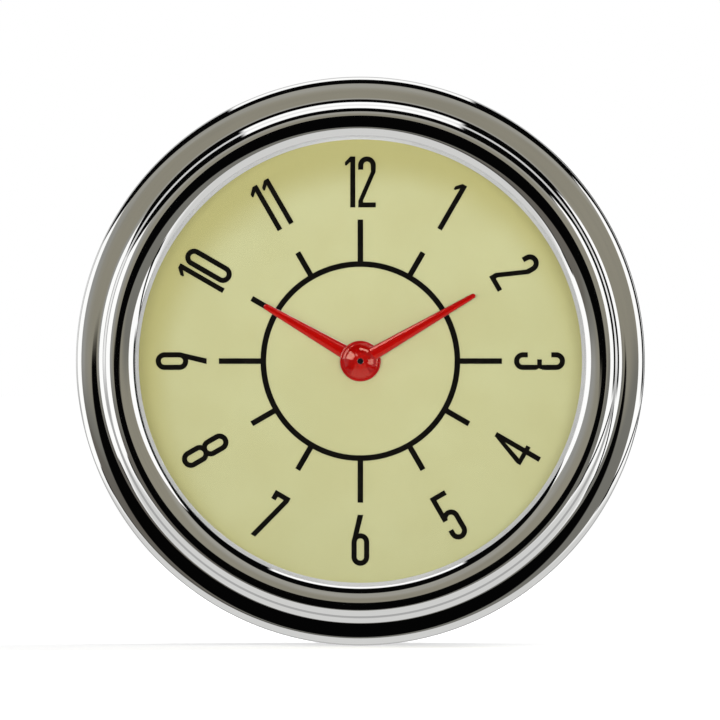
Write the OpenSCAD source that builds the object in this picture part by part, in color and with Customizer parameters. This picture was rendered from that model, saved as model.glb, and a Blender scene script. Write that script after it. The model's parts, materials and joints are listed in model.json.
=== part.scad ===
// Two-hand dashboard gauge clock with a stepped chrome bezel, for a round hole in a panel.
// The origin is on the clock's axis at the bezel's rear face, where it seats on the panel.
// Each sub-part is drawn with its axis along local z, front side up, and then laid down
// so that the dial faces -Y, twelve o'clock is +Z and the case reaches back along +Y.

/* [Bezel] */
// Outer diameter of the bezel
bezel_d = 61.5; // [60.6:0.1:66]
// How far the crest of the bezel's ridge stands in front of the panel
bezel_h = 8.2; // [7.8:0.1:9]
// Height of the straight outer wall, up to the rounding of the rim
rim_h = 3.53; // [3.3:0.01:3.9]
// Radius of the rim's rounding
rim_round = 1.8; // [1.6:0.05:2]
// Distance of the ridge's crest from the outer edge
ridge_inset = 4.4; // [4.3:0.05:4.5]
// Radius of the ridge's rounding towards the rim
ridge_round = 1.05; // [0.9:0.05:1.1]
// Radius of the ridge's rolled edge towards the glass
roll_round = 2; // [1.7:0.05:2.2]
// Radius of the hollow between the step and the ridge
hollow_round = 1; // [0.9:0.05:1.1]
// Slope of the step inside the rim, in degrees
step_slope = 15; // [12:1:18]
// Slope of the ridge's outer wall, in degrees
ridge_slope = 72; // [68:1:76]

/* [Glass] */
// Thickness of the glass
glass_t = 2; // [1.5:0.1:3]
// Thickness of the rubber gasket behind the glass
gasket_t = 0.8; // [0.5:0.1:1.5]

/* [Case] */
// How far the bezel reaches beyond the locating land
bezel_reach = 4; // [3.6:0.05:4.3]
// Length of the locating land behind the panel face
land_l = 8; // [6:0.5:12]
// How far the barrel is set back from the land
barrel_relief = 0.35; // [0.2:0.05:0.5]
// Length of the case behind the panel face
case_l = 34; // [33:0.5:42]
// Thickness of the barrel's wall
case_wall = 0.8; // [0.6:0.1:0.9]
// Thickness of the case's back
back_t = 1; // [0.8:0.1:1.5]

/* [Dial] */
// Thickness of the dial
dial_t = 0.8; // [0.5:0.1:1]
// Space between the dial and the glass
dial_space = 4; // [3.8:0.1:5]
// Width of the trim ring beside the dial
trim_w = 1.5; // [1.2:0.1:2]
// Thickness of the trim ring's wall under the glass
trim_wall = 0.5; // [0.3:0.05:0.8]
// Width of the printed circle and of the ticks
print_w = 0.55; // [0.4:0.05:0.7]
// Thickness of the print
print_t = 0.05; // [0.03:0.01:0.1]
// Length of a short tick, from the middle of the circle's line
tick_l = 3.04; // [2:0.02:4]
// How much longer the ticks of 12, 3, 6 and 9 are
tick_extra = 1.75; // [1:0.05:3]
// Space between a long tick and its numeral
tick_gap = 1.37; // [0.8:0.01:2]

/* [Numerals] */
// Space between the numerals and the trim ring
numeral_gap = 1.87; // [1.4:0.01:2.4]
// Height of a numeral
digit_h = 5.46; // [5:0.02:6]
// Width of a round digit
digit_w = 1.86; // [1.7:0.02:2.1]
// Width of a digit's stroke
stroke_w = 0.5; // [0.4:0.02:0.56]
// Space between two digits of one number
digit_gap = 0.36; // [0.3:0.02:0.6]

/* [Hands] */
// Length of the minute hand from the axis to its tip
minute_hand_l = 14.36; // [12:0.1:16]
// Width of the minute hand beside its hub
minute_root_w = 1.54; // [1.2:0.02:1.8]
// Width of the minute hand at its tip
minute_tip_w = 0.54; // [0.4:0.02:0.7]
// Diameter of the minute hand's hub
minute_hub_d = 3.86; // [3.2:0.02:4.1]
// Length of the hour hand from the axis to its tip
hour_hand_l = 12.05; // [10:0.1:13]
// Width of the hour hand beside its hub
hour_root_w = 1.67; // [1.3:0.02:2]
// Width of the hour hand at its tip
hour_tip_w = 0.66; // [0.5:0.02:0.8]
// Diameter of the hour hand's hub
hour_hub_d = 4.42; // [4.2:0.02:5]
// Thickness of both hands
hand_t = 0.4; // [0.3:0.02:0.45]
// Where the minute hand points, clockwise from twelve
minute_at = 60; // [0:1:359]
// Where the hour hand points, clockwise from twelve
hour_at = 300; // [0:1:359]

/* [Movement] */
// Space between the movement's plates and the case's wall
plate_gap = 3.6; // [3.1:0.1:3.9]
// Thickness of the movement's plates
plate_t = 1; // [0.8:0.1:1.2]
// Radius of the ring of pillars
pillar_ring_r = 19.5; // [19.2:0.1:20]
// Space for the motion work between dial and front plate
motion_space = 2.6; // [2.6:0.1:3.2]
// Space between the movement's plates
train_space = 6.6; // [6.6:0.1:7.4]
// Module of the going train's teeth
train_module = 0.25; // [0.24:0.005:0.26]
// Module of the cannon pinion's and motion wheel's teeth
motion_module = 0.3; // [0.28:0.01:0.31]

/* [Panel clamp] */
// Space between the bezel's rear face and the clamp's feet as drawn
panel_gap = 6; // [5:0.5:10]
// Distance of the clamp studs from the clock's axis
clamp_stud_r = 19; // [18.5:0.1:20]
// Diameter of the studs' thread
thread_d = 4; // [3.5:0.1:4.2]
// Length of the clamp studs behind the case
clamp_stud_l = 18; // [17.5:0.5:24]
// Width of the clamp's strap
strap_w = 12; // [9:0.5:12.4]
// Thickness of the clamp's strap
strap_t = 1.5; // [1:0.1:2]
// How far the clamp can be drawn in from where it is drawn
clamp_in = 4.5; // [3:0.1:4.8]
// Height of the thumb nuts
nut_h = 5.5; // [4:0.5:6]

/* [Rear fittings] */
// Diameter of the time-setting knob
knob_d = 9; // [7:0.5:9.6]
// Length of the time-setting knob
knob_h = 6.5; // [5:0.5:9]
// Distance of the terminals from the clock's axis
terminal_r = 17; // [16.5:0.1:17.5]
// Free length of thread beyond a terminal's nut
terminal_free_l = 4.8; // [3:0.2:8]
// Diameter of the bulb socket's flange
socket_flange_d = 12.4; // [11:0.2:12.6]

/* [Hidden] */
$fn = 96;

// Clearances: a running fit, a loose seat, a free gap between pieces, and a cutting overrun
run = 0.05;
slip = 0.02;
seat_gap = 0.1;
free_gap = 0.3;
cut = 1;
// How far the steps of one turned piece are drawn into each other
bite = 0.2;

// Radii of the bezel, case and glass
bezel_r = bezel_d / 2;
ridge_r = bezel_r - ridge_inset;
opening_r = ridge_r - roll_round;
land_d = bezel_d - 2 * bezel_reach;
land_r = land_d / 2;
barrel_d = land_d - 2 * barrel_relief;
barrel_r = barrel_d / 2;
case_in_r = barrel_r - case_wall;
crimp_gap = 0.15;
crimp_r = land_r + crimp_gap;
bezel_wall = 1.45;
cavity_r = bezel_r - bezel_wall;
glass_r = cavity_r - seat_gap;
edge_r = 0.5;

// Levels along the axis, front side up, from the panel face forwards
crimp_t = 0.8;
flange_t = 0.8;
flange_front = crimp_t + flange_t;
glass_rear = flange_front + gasket_t;
glass_front = glass_rear + glass_t;

// The bezel's front in section: centres of its roundings, and the normals of its two straight slopes.
// The hollow's centre lies where its arc touches both the step and the ridge's wall.
rim_c = [bezel_r - rim_round, rim_h];
ridge_c = [ridge_r, bezel_h - ridge_round];
roll_z = bezel_h - roll_round;
step_n = [sin(step_slope), cos(step_slope)];
wall_n = [sin(ridge_slope), cos(ridge_slope)];
step_reach = step_n * rim_c + rim_round + hollow_round;
wall_reach = wall_n * ridge_c + ridge_round + hollow_round;
slopes = wall_n[0] * step_n[1] - wall_n[1] * step_n[0];
hollow_c = [
    (wall_reach * step_n[1] - step_reach * wall_n[1]) / slopes,
    (step_reach * wall_n[0] - wall_reach * step_n[0]) / slopes
];

// Levels from the glass backwards
dial_front = glass_rear - dial_space;
dial_rear = dial_front - dial_t;
front_plate_front = dial_rear - motion_space;
front_plate_rear = front_plate_front - plate_t;
back_plate_front = front_plate_rear - train_space;
back_plate_rear = back_plate_front - plate_t;
back_outside = -case_l;
back_inside = back_outside + back_t;
board_t = 1.2;
board_space = 7.2;
board_front = back_plate_rear - board_space;
board_rear = board_front - board_t;

// Radii of dial, trim ring and plates
disc_r = case_in_r - seat_gap;
sight_d = 2 * (disc_r - trim_w);
sight_r = sight_d / 2;
trim_top_r = disc_r - trim_wall;
trim_edge_h = 0.3;
plate_d = 2 * (case_in_r - plate_gap);
plate_r = plate_d / 2;
board_margin = 0.5;
board_r = plate_r + board_margin;

// Radii of the print on the dial, from the trim ring inwards
numeral_r = sight_r - numeral_gap - digit_h / 2;
long_tick_r = numeral_r - digit_h / 2 - tick_gap;
short_tick_r = long_tick_r - tick_extra;
track_d = 2 * (short_tick_r - tick_l);
track_r = track_d / 2;

// Hands: levels and hubs
hour_hub_t = 0.6;
hour_hub_gap = 0.55;
hour_hub_rear = dial_front + hour_hub_gap;
hour_hub_front = hour_hub_rear + hour_hub_t;
minute_hub_t = 0.7;
minute_hub_gap = 0.5;
minute_hub_rear = hour_hub_front + minute_hub_gap;
minute_hub_front = minute_hub_rear + minute_hub_t;
minute_dome_h = 0.6;
hour_blade_z = 0.1;
minute_blade_z = 0.2;
dot_r = 0.32;
dot_depth = 0.15;
dot_step = 0.3;

// Motion work: teeth, levels and places
cannon_teeth = 12;
motion_wheel_teeth = 36;
motion_pinion_teeth = 10;
hour_wheel_teeth = 40;
setting_teeth = 12;
motion_cd = motion_module * (cannon_teeth + motion_wheel_teeth) / 2;
hour_module = 2 * motion_cd / (motion_pinion_teeth + hour_wheel_teeth);
motion_y = -motion_cd;
setting_y = motion_y - motion_module * (motion_wheel_teeth + setting_teeth) / 2;
wheel_t = 0.6;
wheel_gap = 0.2;
cannon_h = 1.2;
cannon_rear = front_plate_front + wheel_gap;
cannon_front = cannon_rear + cannon_h;
cannon_pipe_r = 0.85;
hour_wheel_rear = cannon_front + wheel_gap;
hour_pipe_run = 0.08;
hour_pipe_bore_r = cannon_pipe_r + hour_pipe_run;
hour_pipe_r = 1.3;
motion_wheel_rear = cannon_rear + free_gap;
motion_pinion_h = 1.2;
motion_post_r = 0.5;
post_collar_r = 0.9;

// Going train: teeth, levels and places
centre_teeth = 64;
pinion_teeth = 8;
intermediate_teeth = 60;
intermediate_x = -train_module * (centre_teeth + pinion_teeth) / 2;
rotor_cd = train_module * (intermediate_teeth + pinion_teeth) / 2;
rotor_dir = 65;
rotor_x = intermediate_x + rotor_cd * cos(rotor_dir);
rotor_y = rotor_cd * sin(rotor_dir);
centre_wheel_drop = 1.6;
intermediate_drop = 2;
centre_wheel_rear = front_plate_rear - centre_wheel_drop;
intermediate_wheel_rear = centre_wheel_rear - intermediate_drop;
pinion_over = 0.6;
arbor_end = 0.3;
pivot_gap = 0.2;
centre_arbor_r = 0.45;
centre_pivot_r = 0.3;
pivot_r = 0.25;
rotor_pivot_r = 0.2;
intermediate_arbor_r = 0.5;
rotor_arbor_r = 0.35;
collar_r = 1;
collar_h = 0.6;
clip_r = 0.9;
clip_h = 0.4;
spring_t = 0.3;
spring_r = 1.8;

// Stepping motor
magnet_r = 2.4;
magnet_t = 1.4;
magnet_gap = 0.35;
magnet_rear = back_plate_front + magnet_gap;
stator_t = 0.7;
stator_gap = 0.6;
stator_rear = back_plate_front + stator_gap;
stator_w = 5.2;
pillar_r = 2;
pillar_at = [30, 150, 230];
stator_pillar_gap = 0.98;
stator_half_l = rotor_x - pillar_ring_r * cos(pillar_at[1]) - pillar_r - stator_pillar_gap;
leg_w = 2.4;
leg_inset = 0.2;
leg_x = stator_half_l - leg_w / 2 - leg_inset;
core_t = 1.6;
core_gap = 2.5;
core_front = back_plate_rear - core_gap;
bobbin_flange_w = 5;
bobbin_flange_t = 0.8;
bobbin_gap = 0.5;
bobbin_half_l = leg_x - leg_w / 2 - bobbin_gap;
bobbin_r = 1.8;
winding_r = 2.3;

// Pillars, posts and screws; the plates and the board have an ear round each pillar
case_pillar_r = 2.5;
plate_ear_w = 0.4;
board_ear_w = 0.7;
post_at = [90, 200, 340];
post_inset = 5;
post_ring_r = plate_r - post_inset;
post_r = 1.5;
screw_r = 0.8;
screw_head_r = 1.6;
screw_head_t = 0.7;
screw_slot_w = 0.4;
screw_l = 2.5;
case_screw_r = 1;
case_screw_head_r = 2;
case_screw_head_t = 1.2;
case_screw_slot_w = 0.5;
case_screw_l = 5;

// Setting arbor, bush and knob
setting_arbor_r = 1;
setting_collar_r = 2;
setting_collar_h = 1;
setting_hole_gap = 0.5;
bush_r = 2.5;
bush_flange_r = 4;
bush_flange_t = 1;
knob_gap = 0.6;
knob_rear = back_outside - bush_flange_t - knob_gap - knob_h;
knob_end_t = 2;
knob_ribs = 30;
knob_rib_depth = 0.3;

// Terminals: the threads under the nuts are drawn at their pitch diameter
terminal_at = [53, 90, 127];
thread_r = thread_d / 2;
thread_depth = 0.2;
shank_r = thread_r - thread_depth;
insulator_body_r = thread_r + 1.1;
insulator_flange_r = thread_r + 2.6;
insulator_t = 1.2;
inner_washer_r = thread_r + 2.2;
inner_washer_t = 0.8;
head_r = thread_r + 1.4;
head_t = 1.4;
lock_washer_t = 0.8;
lock_washer_r = thread_r + 1.8;
hex_flats = thread_d * 1.75;
hex_h = thread_d * 0.8;
nut_rear = back_outside - insulator_t - lock_washer_t - hex_h;
wire_r = 0.4;

// Clamp: the strap's bar stands behind the case and its legs run forward outside the barrel
bar_gap = 1;
bar_front = back_outside - bar_gap - clamp_in;
bar_rear = bar_front - strap_t;
leg_gap = 1.55;
leg_in_x = land_r + leg_gap;
strap_bend_r = 1;
stud_hole_r = thread_r + free_gap;
washer_hole_r = thread_r + 0.2;
nut_flange_r = thread_r + 3.5;
nut_grip_r = thread_r + 3;
nut_flange_t = 1.2;
nut_ribs = 24;
nut_rib_depth = 0.35;

// Small parts on the board, each at a place of its own
crystal_at = [-2, -6];
crystal_r = 1.5;
crystal_l = 8;
chip_at = [-10, 1];
chip_w = 6;
chip_l = 5;
chip_h = 1.5;
capacitor_at = [7, 3];
capacitor_r = 2.5;
capacitor_h = 6;
resistor_x = 3;
resistor_rows = [-4, -7];
resistor_r = 0.9;
resistor_l = 4;

// Bulb and socket
socket_body_r = 4.6;
socket_wall_gap = 1.9;
bulb_ring_r = case_in_r - socket_body_r - socket_wall_gap;
bulb_dir = -47;
bulb_x = bulb_ring_r * cos(bulb_dir);
bulb_y = bulb_ring_r * sin(bulb_dir);
bulb_window_r = 3.2;
board_notch_r = 6;
socket_flange_t = 1.2;
socket_l = 8;
socket_grip_w = 2.4;
socket_grip_l = 8;
socket_grip_h = 3.8;
bulb_r = 2.5;
bulb_base_l = 4.5;
bulb_l = 14;

// Lays a sub-part drawn along local z down so that its front faces -Y
module lay() {
    rotate([90, 0, 0]) children();
}

// A disc or tube between two levels
module tube(r, bore, low, high) {
    translate([0, 0, low]) difference() {
        cylinder(r = r, h = high - low);
        if (bore > 0) translate([0, 0, -cut]) cylinder(r = bore, h = high - low + 2 * cut);
    }
}

// Places children at each angle of a list, on a ring of radius r
module ring_of(angles, r) {
    for (a = angles) translate([r * cos(a), r * sin(a), 0]) children();
}

// Places children left and right of the axis
module left_and_right(x) {
    for (s = [-1, 1]) translate([s * x, 0, 0]) children();
}

// Gear teeth: a point at radius r and angle a
function polar(r, a) = [r * cos(a), r * sin(a)];

// Outline of a gear with n teeth of module m, one tooth centred at angle phase
function gear_outline(n, m, phase) = [
    for (i = [0 : n - 1], p = [[-1.25, -0.28], [0, -0.2], [0.8, -0.09], [0.8, 0.09], [0, 0.2], [-1.25, 0.28]])
        polar(n * m / 2 + p[0] * m, phase + (i + p[1]) * 360 / n)
];

// Phase of a gear whose gap faces a tooth of its mate, which lies in direction toward
function gap_phase(toward, n) = toward + 180 / n;

// A gear between two levels
module gear(n, m, phase, bore, low, high) {
    translate([0, 0, low]) difference() {
        linear_extrude(high - low) polygon(gear_outline(n, m, phase));
        translate([0, 0, -cut]) cylinder(r = bore, h = high - low + 2 * cut);
    }
}

// Outline with n round-bottomed ribs, for a grip of outer radius r
module ribbed(r, n, depth) {
    polygon([for (i = [0 : n - 1], p = [[0, -0.3], [0, 0.15], [depth, 0.35], [depth, 0.5]])
        polar(r - p[0], (i + p[1]) * 360 / n)]);
}

// The bezel: crimped rear edge, rounded rim, sloping step, steep ridge, and a rolled edge over the glass
module bezel() {
    color("silver") lay() rotate_extrude() difference() {
        union() {
            polygon([
                [crimp_r, 0], [bezel_r, 0], [bezel_r, rim_h], rim_c + rim_round * step_n,
                hollow_c - hollow_round * step_n, hollow_c - hollow_round * wall_n,
                ridge_c + ridge_round * wall_n, [ridge_r, bezel_h], [ridge_r, roll_z],
                [opening_r, roll_z], [opening_r, glass_front], [crimp_r, glass_front]
            ]);
            translate(rim_c) circle(rim_round);
            translate(ridge_c) circle(ridge_round);
            translate([ridge_r, roll_z]) intersection() {
                circle(roll_round);
                translate([-roll_round, 0]) square(roll_round);
            }
        }
        translate([0, crimp_t]) square([cavity_r, glass_front - crimp_t]);
        translate(hollow_c) circle(hollow_round);
        translate([bezel_r - edge_r, edge_r]) difference() {
            translate([0, -edge_r - cut]) square([edge_r + cut, edge_r + cut]);
            circle(edge_r);
        }
    }
}

module lens() {
    color("white", 0.3) lay() tube(glass_r, 0, glass_rear, glass_front);
}

module lens_gasket() {
    color("dimgray") lay() tube(glass_r, case_in_r + seat_gap, flange_front, glass_rear);
}

// The trim ring opens like a cone from the dial up to the glass
module trim_ring() {
    color("gainsboro") lay() rotate_extrude() polygon([
        [sight_r, dial_front], [disc_r, dial_front], [disc_r, glass_rear],
        [trim_top_r, glass_rear], [sight_r, dial_front + trim_edge_h]
    ]);
}

module dial() {
    color("khaki") lay() tube(disc_r, hour_pipe_r + free_gap, dial_rear, dial_front);
}

// The printed circle with its twelve ticks
module dial_track() {
    color("black") lay() translate([0, 0, dial_front]) linear_extrude(print_t) {
        difference() {
            circle(track_r + print_w / 2);
            circle(track_r - print_w / 2);
        }
        for (i = [0 : 11]) rotate(i * 30) {
            tick_r = i % 3 == 0 ? long_tick_r : short_tick_r;
            translate([-print_w / 2, track_r]) square([print_w, tick_r - track_r]);
        }
    }
}

// Strokes and bowls that the digits are made of, from the digit's lower left corner
module pill(w, h) {
    translate([w / 2, w / 2]) circle(w / 2);
    translate([w / 2, h - w / 2]) circle(w / 2);
    translate([0, w / 2]) square([w, h - w]);
}

module bowl(w, h) {
    difference() {
        pill(w, h);
        translate([stroke_w, stroke_w]) pill(w - 2 * stroke_w, h - 2 * stroke_w);
    }
}

// The upper half of a round stroke
module arch(w) {
    intersection() {
        difference() {
            circle(w / 2);
            circle(w / 2 - stroke_w);
        }
        translate([-w / 2, 0]) square([w, w / 2]);
    }
}

// Widths of the digits, lower-case names for their own proportions
flag_w = 0.57;
one_w = flag_w + stroke_w;
four_foot = 0.36;
four_w = digit_w + 0.31;

module digit_0() {
    bowl(digit_w, digit_h);
}

module digit_1() {
    translate([flag_w, 0]) square([stroke_w, digit_h]);
    polygon([[flag_w, digit_h], [0, digit_h - 0.6], [0, digit_h - 0.9], [0.12, digit_h - 0.93],
        [flag_w + 0.1, digit_h - 0.45]]);
}

module digit_2() {
    r = digit_w / 2;
    leg = 1.59;
    foot = 0.74;
    translate([r, digit_h - r]) arch(digit_w);
    translate([0, digit_h - 1.38]) square([stroke_w, 1.38 - r]);
    translate([digit_w - stroke_w, digit_h - leg]) square([stroke_w, leg - r]);
    polygon([[digit_w - stroke_w, digit_h - leg], [digit_w, digit_h - leg], [stroke_w, foot], [0, foot]]);
    square([stroke_w, foot]);
    square([digit_w, stroke_w * 0.97]);
}

// The upper half of a three, with its waist at level 0
module three_half() {
    r = digit_w / 2;
    half_h = digit_h / 2;
    waist_r = stroke_w;
    translate([r, half_h - r]) arch(digit_w);
    translate([0, half_h - 1.43]) square([stroke_w, 1.43 - r]);
    translate([digit_w - stroke_w, waist_r]) square([stroke_w, half_h - r - waist_r]);
    intersection() {
        translate([digit_w - waist_r, waist_r]) circle(waist_r);
        translate([digit_w - waist_r, 0]) square(waist_r);
    }
    translate([0.77, 0]) square([digit_w - waist_r - 0.77, stroke_w * 0.45]);
}

module digit_3() {
    translate([0, digit_h / 2]) {
        three_half();
        mirror([0, 1]) three_half();
    }
}

module digit_4() {
    bar_y = digit_h - 3.72;
    stem_x = four_w - four_foot - stroke_w;
    half = stroke_w * 0.45;
    translate([stem_x, 0]) square([stroke_w, digit_h]);
    translate([0, bar_y - half]) square([four_w, 2 * half]);
    polygon([[0, bar_y - half], [0, bar_y + half], [stem_x + 0.05, digit_h], [stem_x + stroke_w, digit_h],
        [stem_x + 0.05, digit_h - 1.15], [stroke_w * 1.05, bar_y + half - 0.01]]);
}

module digit_5() {
    bowl_h = 3.4;
    stem_y = 2.51;
    gap_y = 1.35;
    difference() {
        bowl(digit_w, bowl_h);
        translate([-cut, gap_y]) square([cut + stroke_w + 0.05, stem_y - gap_y]);
    }
    translate([0, stem_y]) square([stroke_w, digit_h - stem_y]);
    translate([0, digit_h - stroke_w]) square([digit_w - 0.08, stroke_w]);
}

module digit_6() {
    bowl_h = 3.46;
    bowl(digit_w, bowl_h);
    polygon([[0, bowl_h - digit_w / 2], [stroke_w, bowl_h - digit_w / 2], [1.22, digit_h], [0.67, digit_h]]);
}

module digit_7() {
    knee = 0.54;
    translate([0, digit_h - stroke_w]) square([digit_w - 0.05, stroke_w]);
    translate([0, digit_h - 0.97]) square([stroke_w, 0.97]);
    translate([digit_w - 0.05 - stroke_w, digit_h - knee]) square([stroke_w, knee]);
    polygon([[digit_w - 0.05 - stroke_w, digit_h - knee], [digit_w - 0.05, digit_h - knee],
        [0.54, 0], [0.02, 0]]);
}

module digit_8() {
    lobe_h = (digit_h + stroke_w) / 2;
    bowl(digit_w, lobe_h);
    translate([0, digit_h - lobe_h]) bowl(digit_w, lobe_h);
}

module digit_9() {
    translate([digit_w, digit_h]) rotate(180) digit_6();
}

module digit(d) {
    if (d == 0) digit_0();
    if (d == 1) digit_1();
    if (d == 2) digit_2();
    if (d == 3) digit_3();
    if (d == 4) digit_4();
    if (d == 5) digit_5();
    if (d == 6) digit_6();
    if (d == 7) digit_7();
    if (d == 8) digit_8();
    if (d == 9) digit_9();
}

function width_of(d) = d == 1 ? one_w : d == 4 ? four_w : digit_w;

// A number centred on its own middle
module number(n) {
    tens = floor(n / 10);
    ones = n % 10;
    lead = tens > 0 ? width_of(tens) + digit_gap : 0;
    translate([-(lead + width_of(ones)) / 2, -digit_h / 2]) {
        if (tens > 0) digit(tens);
        translate([lead, 0]) digit(ones);
    }
}

// The numbers stand radially: four to eight have their tops inward, the rest outward
module numerals() {
    color("black") lay() translate([0, 0, dial_front]) linear_extrude(print_t)
        for (n = [1 : 12]) rotate(-30 * n) translate([0, numeral_r])
            rotate(n > 3 && n < 9 ? 180 : 0) number(n);
}

// A tapered hand pointing up, with a ridge along its top
module blade(l, root_w, tip_w, inner_r) {
    edge_t = hand_t * 0.45;
    intersection() {
        linear_extrude(hand_t) {
            polygon([[-root_w / 2, inner_r], [root_w / 2, inner_r],
                [tip_w / 2, l - tip_w / 2], [-tip_w / 2, l - tip_w / 2]]);
            translate([0, l - tip_w / 2]) circle(tip_w / 2);
        }
        translate([0, l + cut, 0]) rotate([90, 0, 0]) linear_extrude(l + 2 * cut)
            polygon([[-root_w, 0], [root_w, 0], [root_w, edge_t - (hand_t - edge_t)],
                [0, hand_t], [-root_w, edge_t - (hand_t - edge_t)]]);
    }
}

module hour_hand() {
    color("red") lay() rotate(-hour_at) translate([0, 0, hour_hub_rear]) difference() {
        union() {
            cylinder(d = hour_hub_d, h = hour_hub_t);
            translate([0, 0, hour_blade_z]) blade(hour_hand_l, hour_root_w, hour_tip_w, hour_pipe_r + free_gap);
        }
        translate([0, 0, -cut]) cylinder(r = hour_pipe_r + slip, h = hour_hub_t + 2 * cut);
    }
}

// The minute hand's hub has a domed top that covers the cannon pinion's pipe
module minute_hand() {
    dome_r = (pow(minute_hub_d / 2, 2) + pow(minute_dome_h, 2)) / (2 * minute_dome_h);
    color("red") lay() rotate(-minute_at) translate([0, 0, minute_hub_rear]) difference() {
        union() {
            cylinder(d = minute_hub_d, h = minute_hub_t);
            translate([0, 0, minute_blade_z])
                blade(minute_hand_l, minute_root_w, minute_tip_w, cannon_pipe_r + free_gap);
            intersection() {
                translate([0, 0, minute_hub_t + minute_dome_h - dome_r]) sphere(dome_r);
                translate([0, 0, minute_hub_t - bite]) cylinder(d = minute_hub_d, h = minute_dome_h + bite);
            }
        }
        translate([0, 0, -cut]) cylinder(r = cannon_pipe_r + slip, h = minute_hub_t - 0.1 + cut);
        translate([0, 0, -cut]) cylinder(r = dot_r, h = minute_hub_t + minute_dome_h + 2 * cut);
    }
}

// The case: flange under the bezel, locating land, barrel and a back with its holes
module case() {
    color("dimgray") lay() difference() {
        rotate_extrude() difference() {
            union() {
                translate([0, crimp_t]) square([glass_r, flange_t]);
                translate([0, -land_l]) square([land_r, land_l]);
                translate([0, back_outside]) square([barrel_r, flange_front - back_outside]);
            }
            translate([0, back_inside]) square([case_in_r, flange_front - back_inside + cut]);
        }
        translate([0, 0, back_outside - cut]) {
            h = back_t + 2 * cut;
            ring_of(terminal_at, terminal_r) cylinder(r = insulator_body_r + slip, h = h);
            ring_of(pillar_at, pillar_ring_r) cylinder(r = case_screw_r + run, h = h);
            left_and_right(clamp_stud_r) cylinder(r = thread_r + slip, h = h);
            translate([0, setting_y]) cylinder(r = bush_r + slip, h = h);
            translate([bulb_x, bulb_y]) cylinder(r = socket_body_r + slip, h = h);
        }
    }
}

// Plate between two levels with the holes that both plates share
module plate(rear, front) {
    difference() {
        union() {
            tube(plate_r, 0, rear, front);
            ring_of(pillar_at, pillar_ring_r) tube(pillar_r + plate_ear_w, 0, rear, front);
        }
        translate([0, 0, rear - cut]) {
            h = front - rear + 2 * cut;
            ring_of(pillar_at, pillar_ring_r) cylinder(r = screw_r + run, h = h);
            translate([intermediate_x, 0]) cylinder(r = pivot_r + run, h = h);
            translate([rotor_x, rotor_y]) cylinder(r = rotor_pivot_r + run, h = h);
            translate([0, setting_y]) cylinder(r = setting_arbor_r + run, h = h);
            translate([bulb_x, bulb_y]) cylinder(r = bulb_window_r, h = h);
        }
    }
}

module front_plate() {
    color("goldenrod") lay() difference() {
        plate(front_plate_rear, front_plate_front);
        translate([0, 0, front_plate_rear - cut]) {
            cylinder(r = centre_arbor_r + run, h = plate_t + 2 * cut);
            translate([0, motion_y]) cylinder(r = motion_post_r, h = plate_t + 2 * cut);
        }
    }
}

module back_plate() {
    color("goldenrod") lay() difference() {
        plate(back_plate_rear, back_plate_front);
        translate([0, 0, back_plate_rear - cut]) cylinder(r = centre_pivot_r + run, h = plate_t + 2 * cut);
        for (s = [-1, 1]) translate([rotor_x + s * leg_x, rotor_y, back_plate_rear - cut])
            translate([-leg_w / 2 - seat_gap, -leg_w / 2 - seat_gap])
                cube([leg_w + 2 * seat_gap, leg_w + 2 * seat_gap, plate_t + 2 * cut]);
    }
}

// Pillars between the plates, bored at both ends
module plate_pillars() {
    color("silver") lay() ring_of(pillar_at, pillar_ring_r) difference() {
        tube(pillar_r, 0, back_plate_front, front_plate_rear);
        translate([0, 0, front_plate_rear - screw_l]) cylinder(r = screw_r + run, h = screw_l + cut);
        translate([0, 0, back_plate_front - cut]) cylinder(r = screw_r + run, h = screw_l + cut);
    }
}

module plate_screws() {
    color("silver") lay() ring_of(pillar_at, pillar_ring_r) difference() {
        union() {
            tube(screw_head_r, 0, front_plate_front, front_plate_front + screw_head_t);
            tube(screw_r, 0, front_plate_rear - screw_l + free_gap, front_plate_front + bite);
        }
        translate([-screw_head_r - cut, -screw_slot_w / 2, front_plate_front + screw_head_t / 2])
            cube([2 * screw_head_r + 2 * cut, screw_slot_w, screw_head_t]);
    }
}

module dial_posts() {
    color("silver") lay() ring_of(post_at, post_ring_r) tube(post_r, 0, front_plate_front, dial_rear);
}

// The arbor's tip shows as a dark dot in the minute hand's hub
module centre_arbor() {
    color("dimgray") lay() {
        clip_low = centre_wheel_rear + wheel_t + spring_t;
        dot_low = minute_hub_rear + dot_step;
        tube(centre_pivot_r, 0, back_plate_rear + pivot_gap, back_plate_front + arbor_end + bite);
        tube(centre_arbor_r, 0, back_plate_front + arbor_end, dot_low);
        tube(dot_r - slip, 0, dot_low - bite, minute_hub_front + minute_dome_h - dot_depth);
        tube(collar_r, 0, centre_wheel_rear - collar_h, centre_wheel_rear);
        tube(clip_r, 0, clip_low, clip_low + clip_h);
    }
}

module cannon_pinion() {
    color("gold") lay() {
        gear(cannon_teeth, motion_module, -90, centre_arbor_r + slip, cannon_rear, cannon_front);
        tube(cannon_pipe_r, centre_arbor_r + slip, cannon_rear, minute_hub_front - dot_depth);
    }
}

module centre_wheel() {
    color("gold") lay() gear(centre_teeth, train_module, 0, centre_arbor_r + slip,
        centre_wheel_rear, centre_wheel_rear + wheel_t);
}

// The spring that lets the centre wheel slip when the hands are set
module friction_spring() {
    low = centre_wheel_rear + wheel_t;
    color("silver") lay() tube(spring_r, centre_arbor_r + slip, low, low + spring_t);
}

module motion_wheel() {
    color("gold") lay() translate([0, motion_y])
        gear(motion_wheel_teeth, motion_module, gap_phase(90, motion_wheel_teeth), motion_post_r + run,
            motion_wheel_rear, motion_wheel_rear + wheel_t);
}

module motion_pinion() {
    low = motion_wheel_rear + wheel_t;
    color("silver") lay() translate([0, motion_y])
        gear(motion_pinion_teeth, hour_module, 90, motion_post_r + run, low, low + motion_pinion_h);
}

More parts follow.
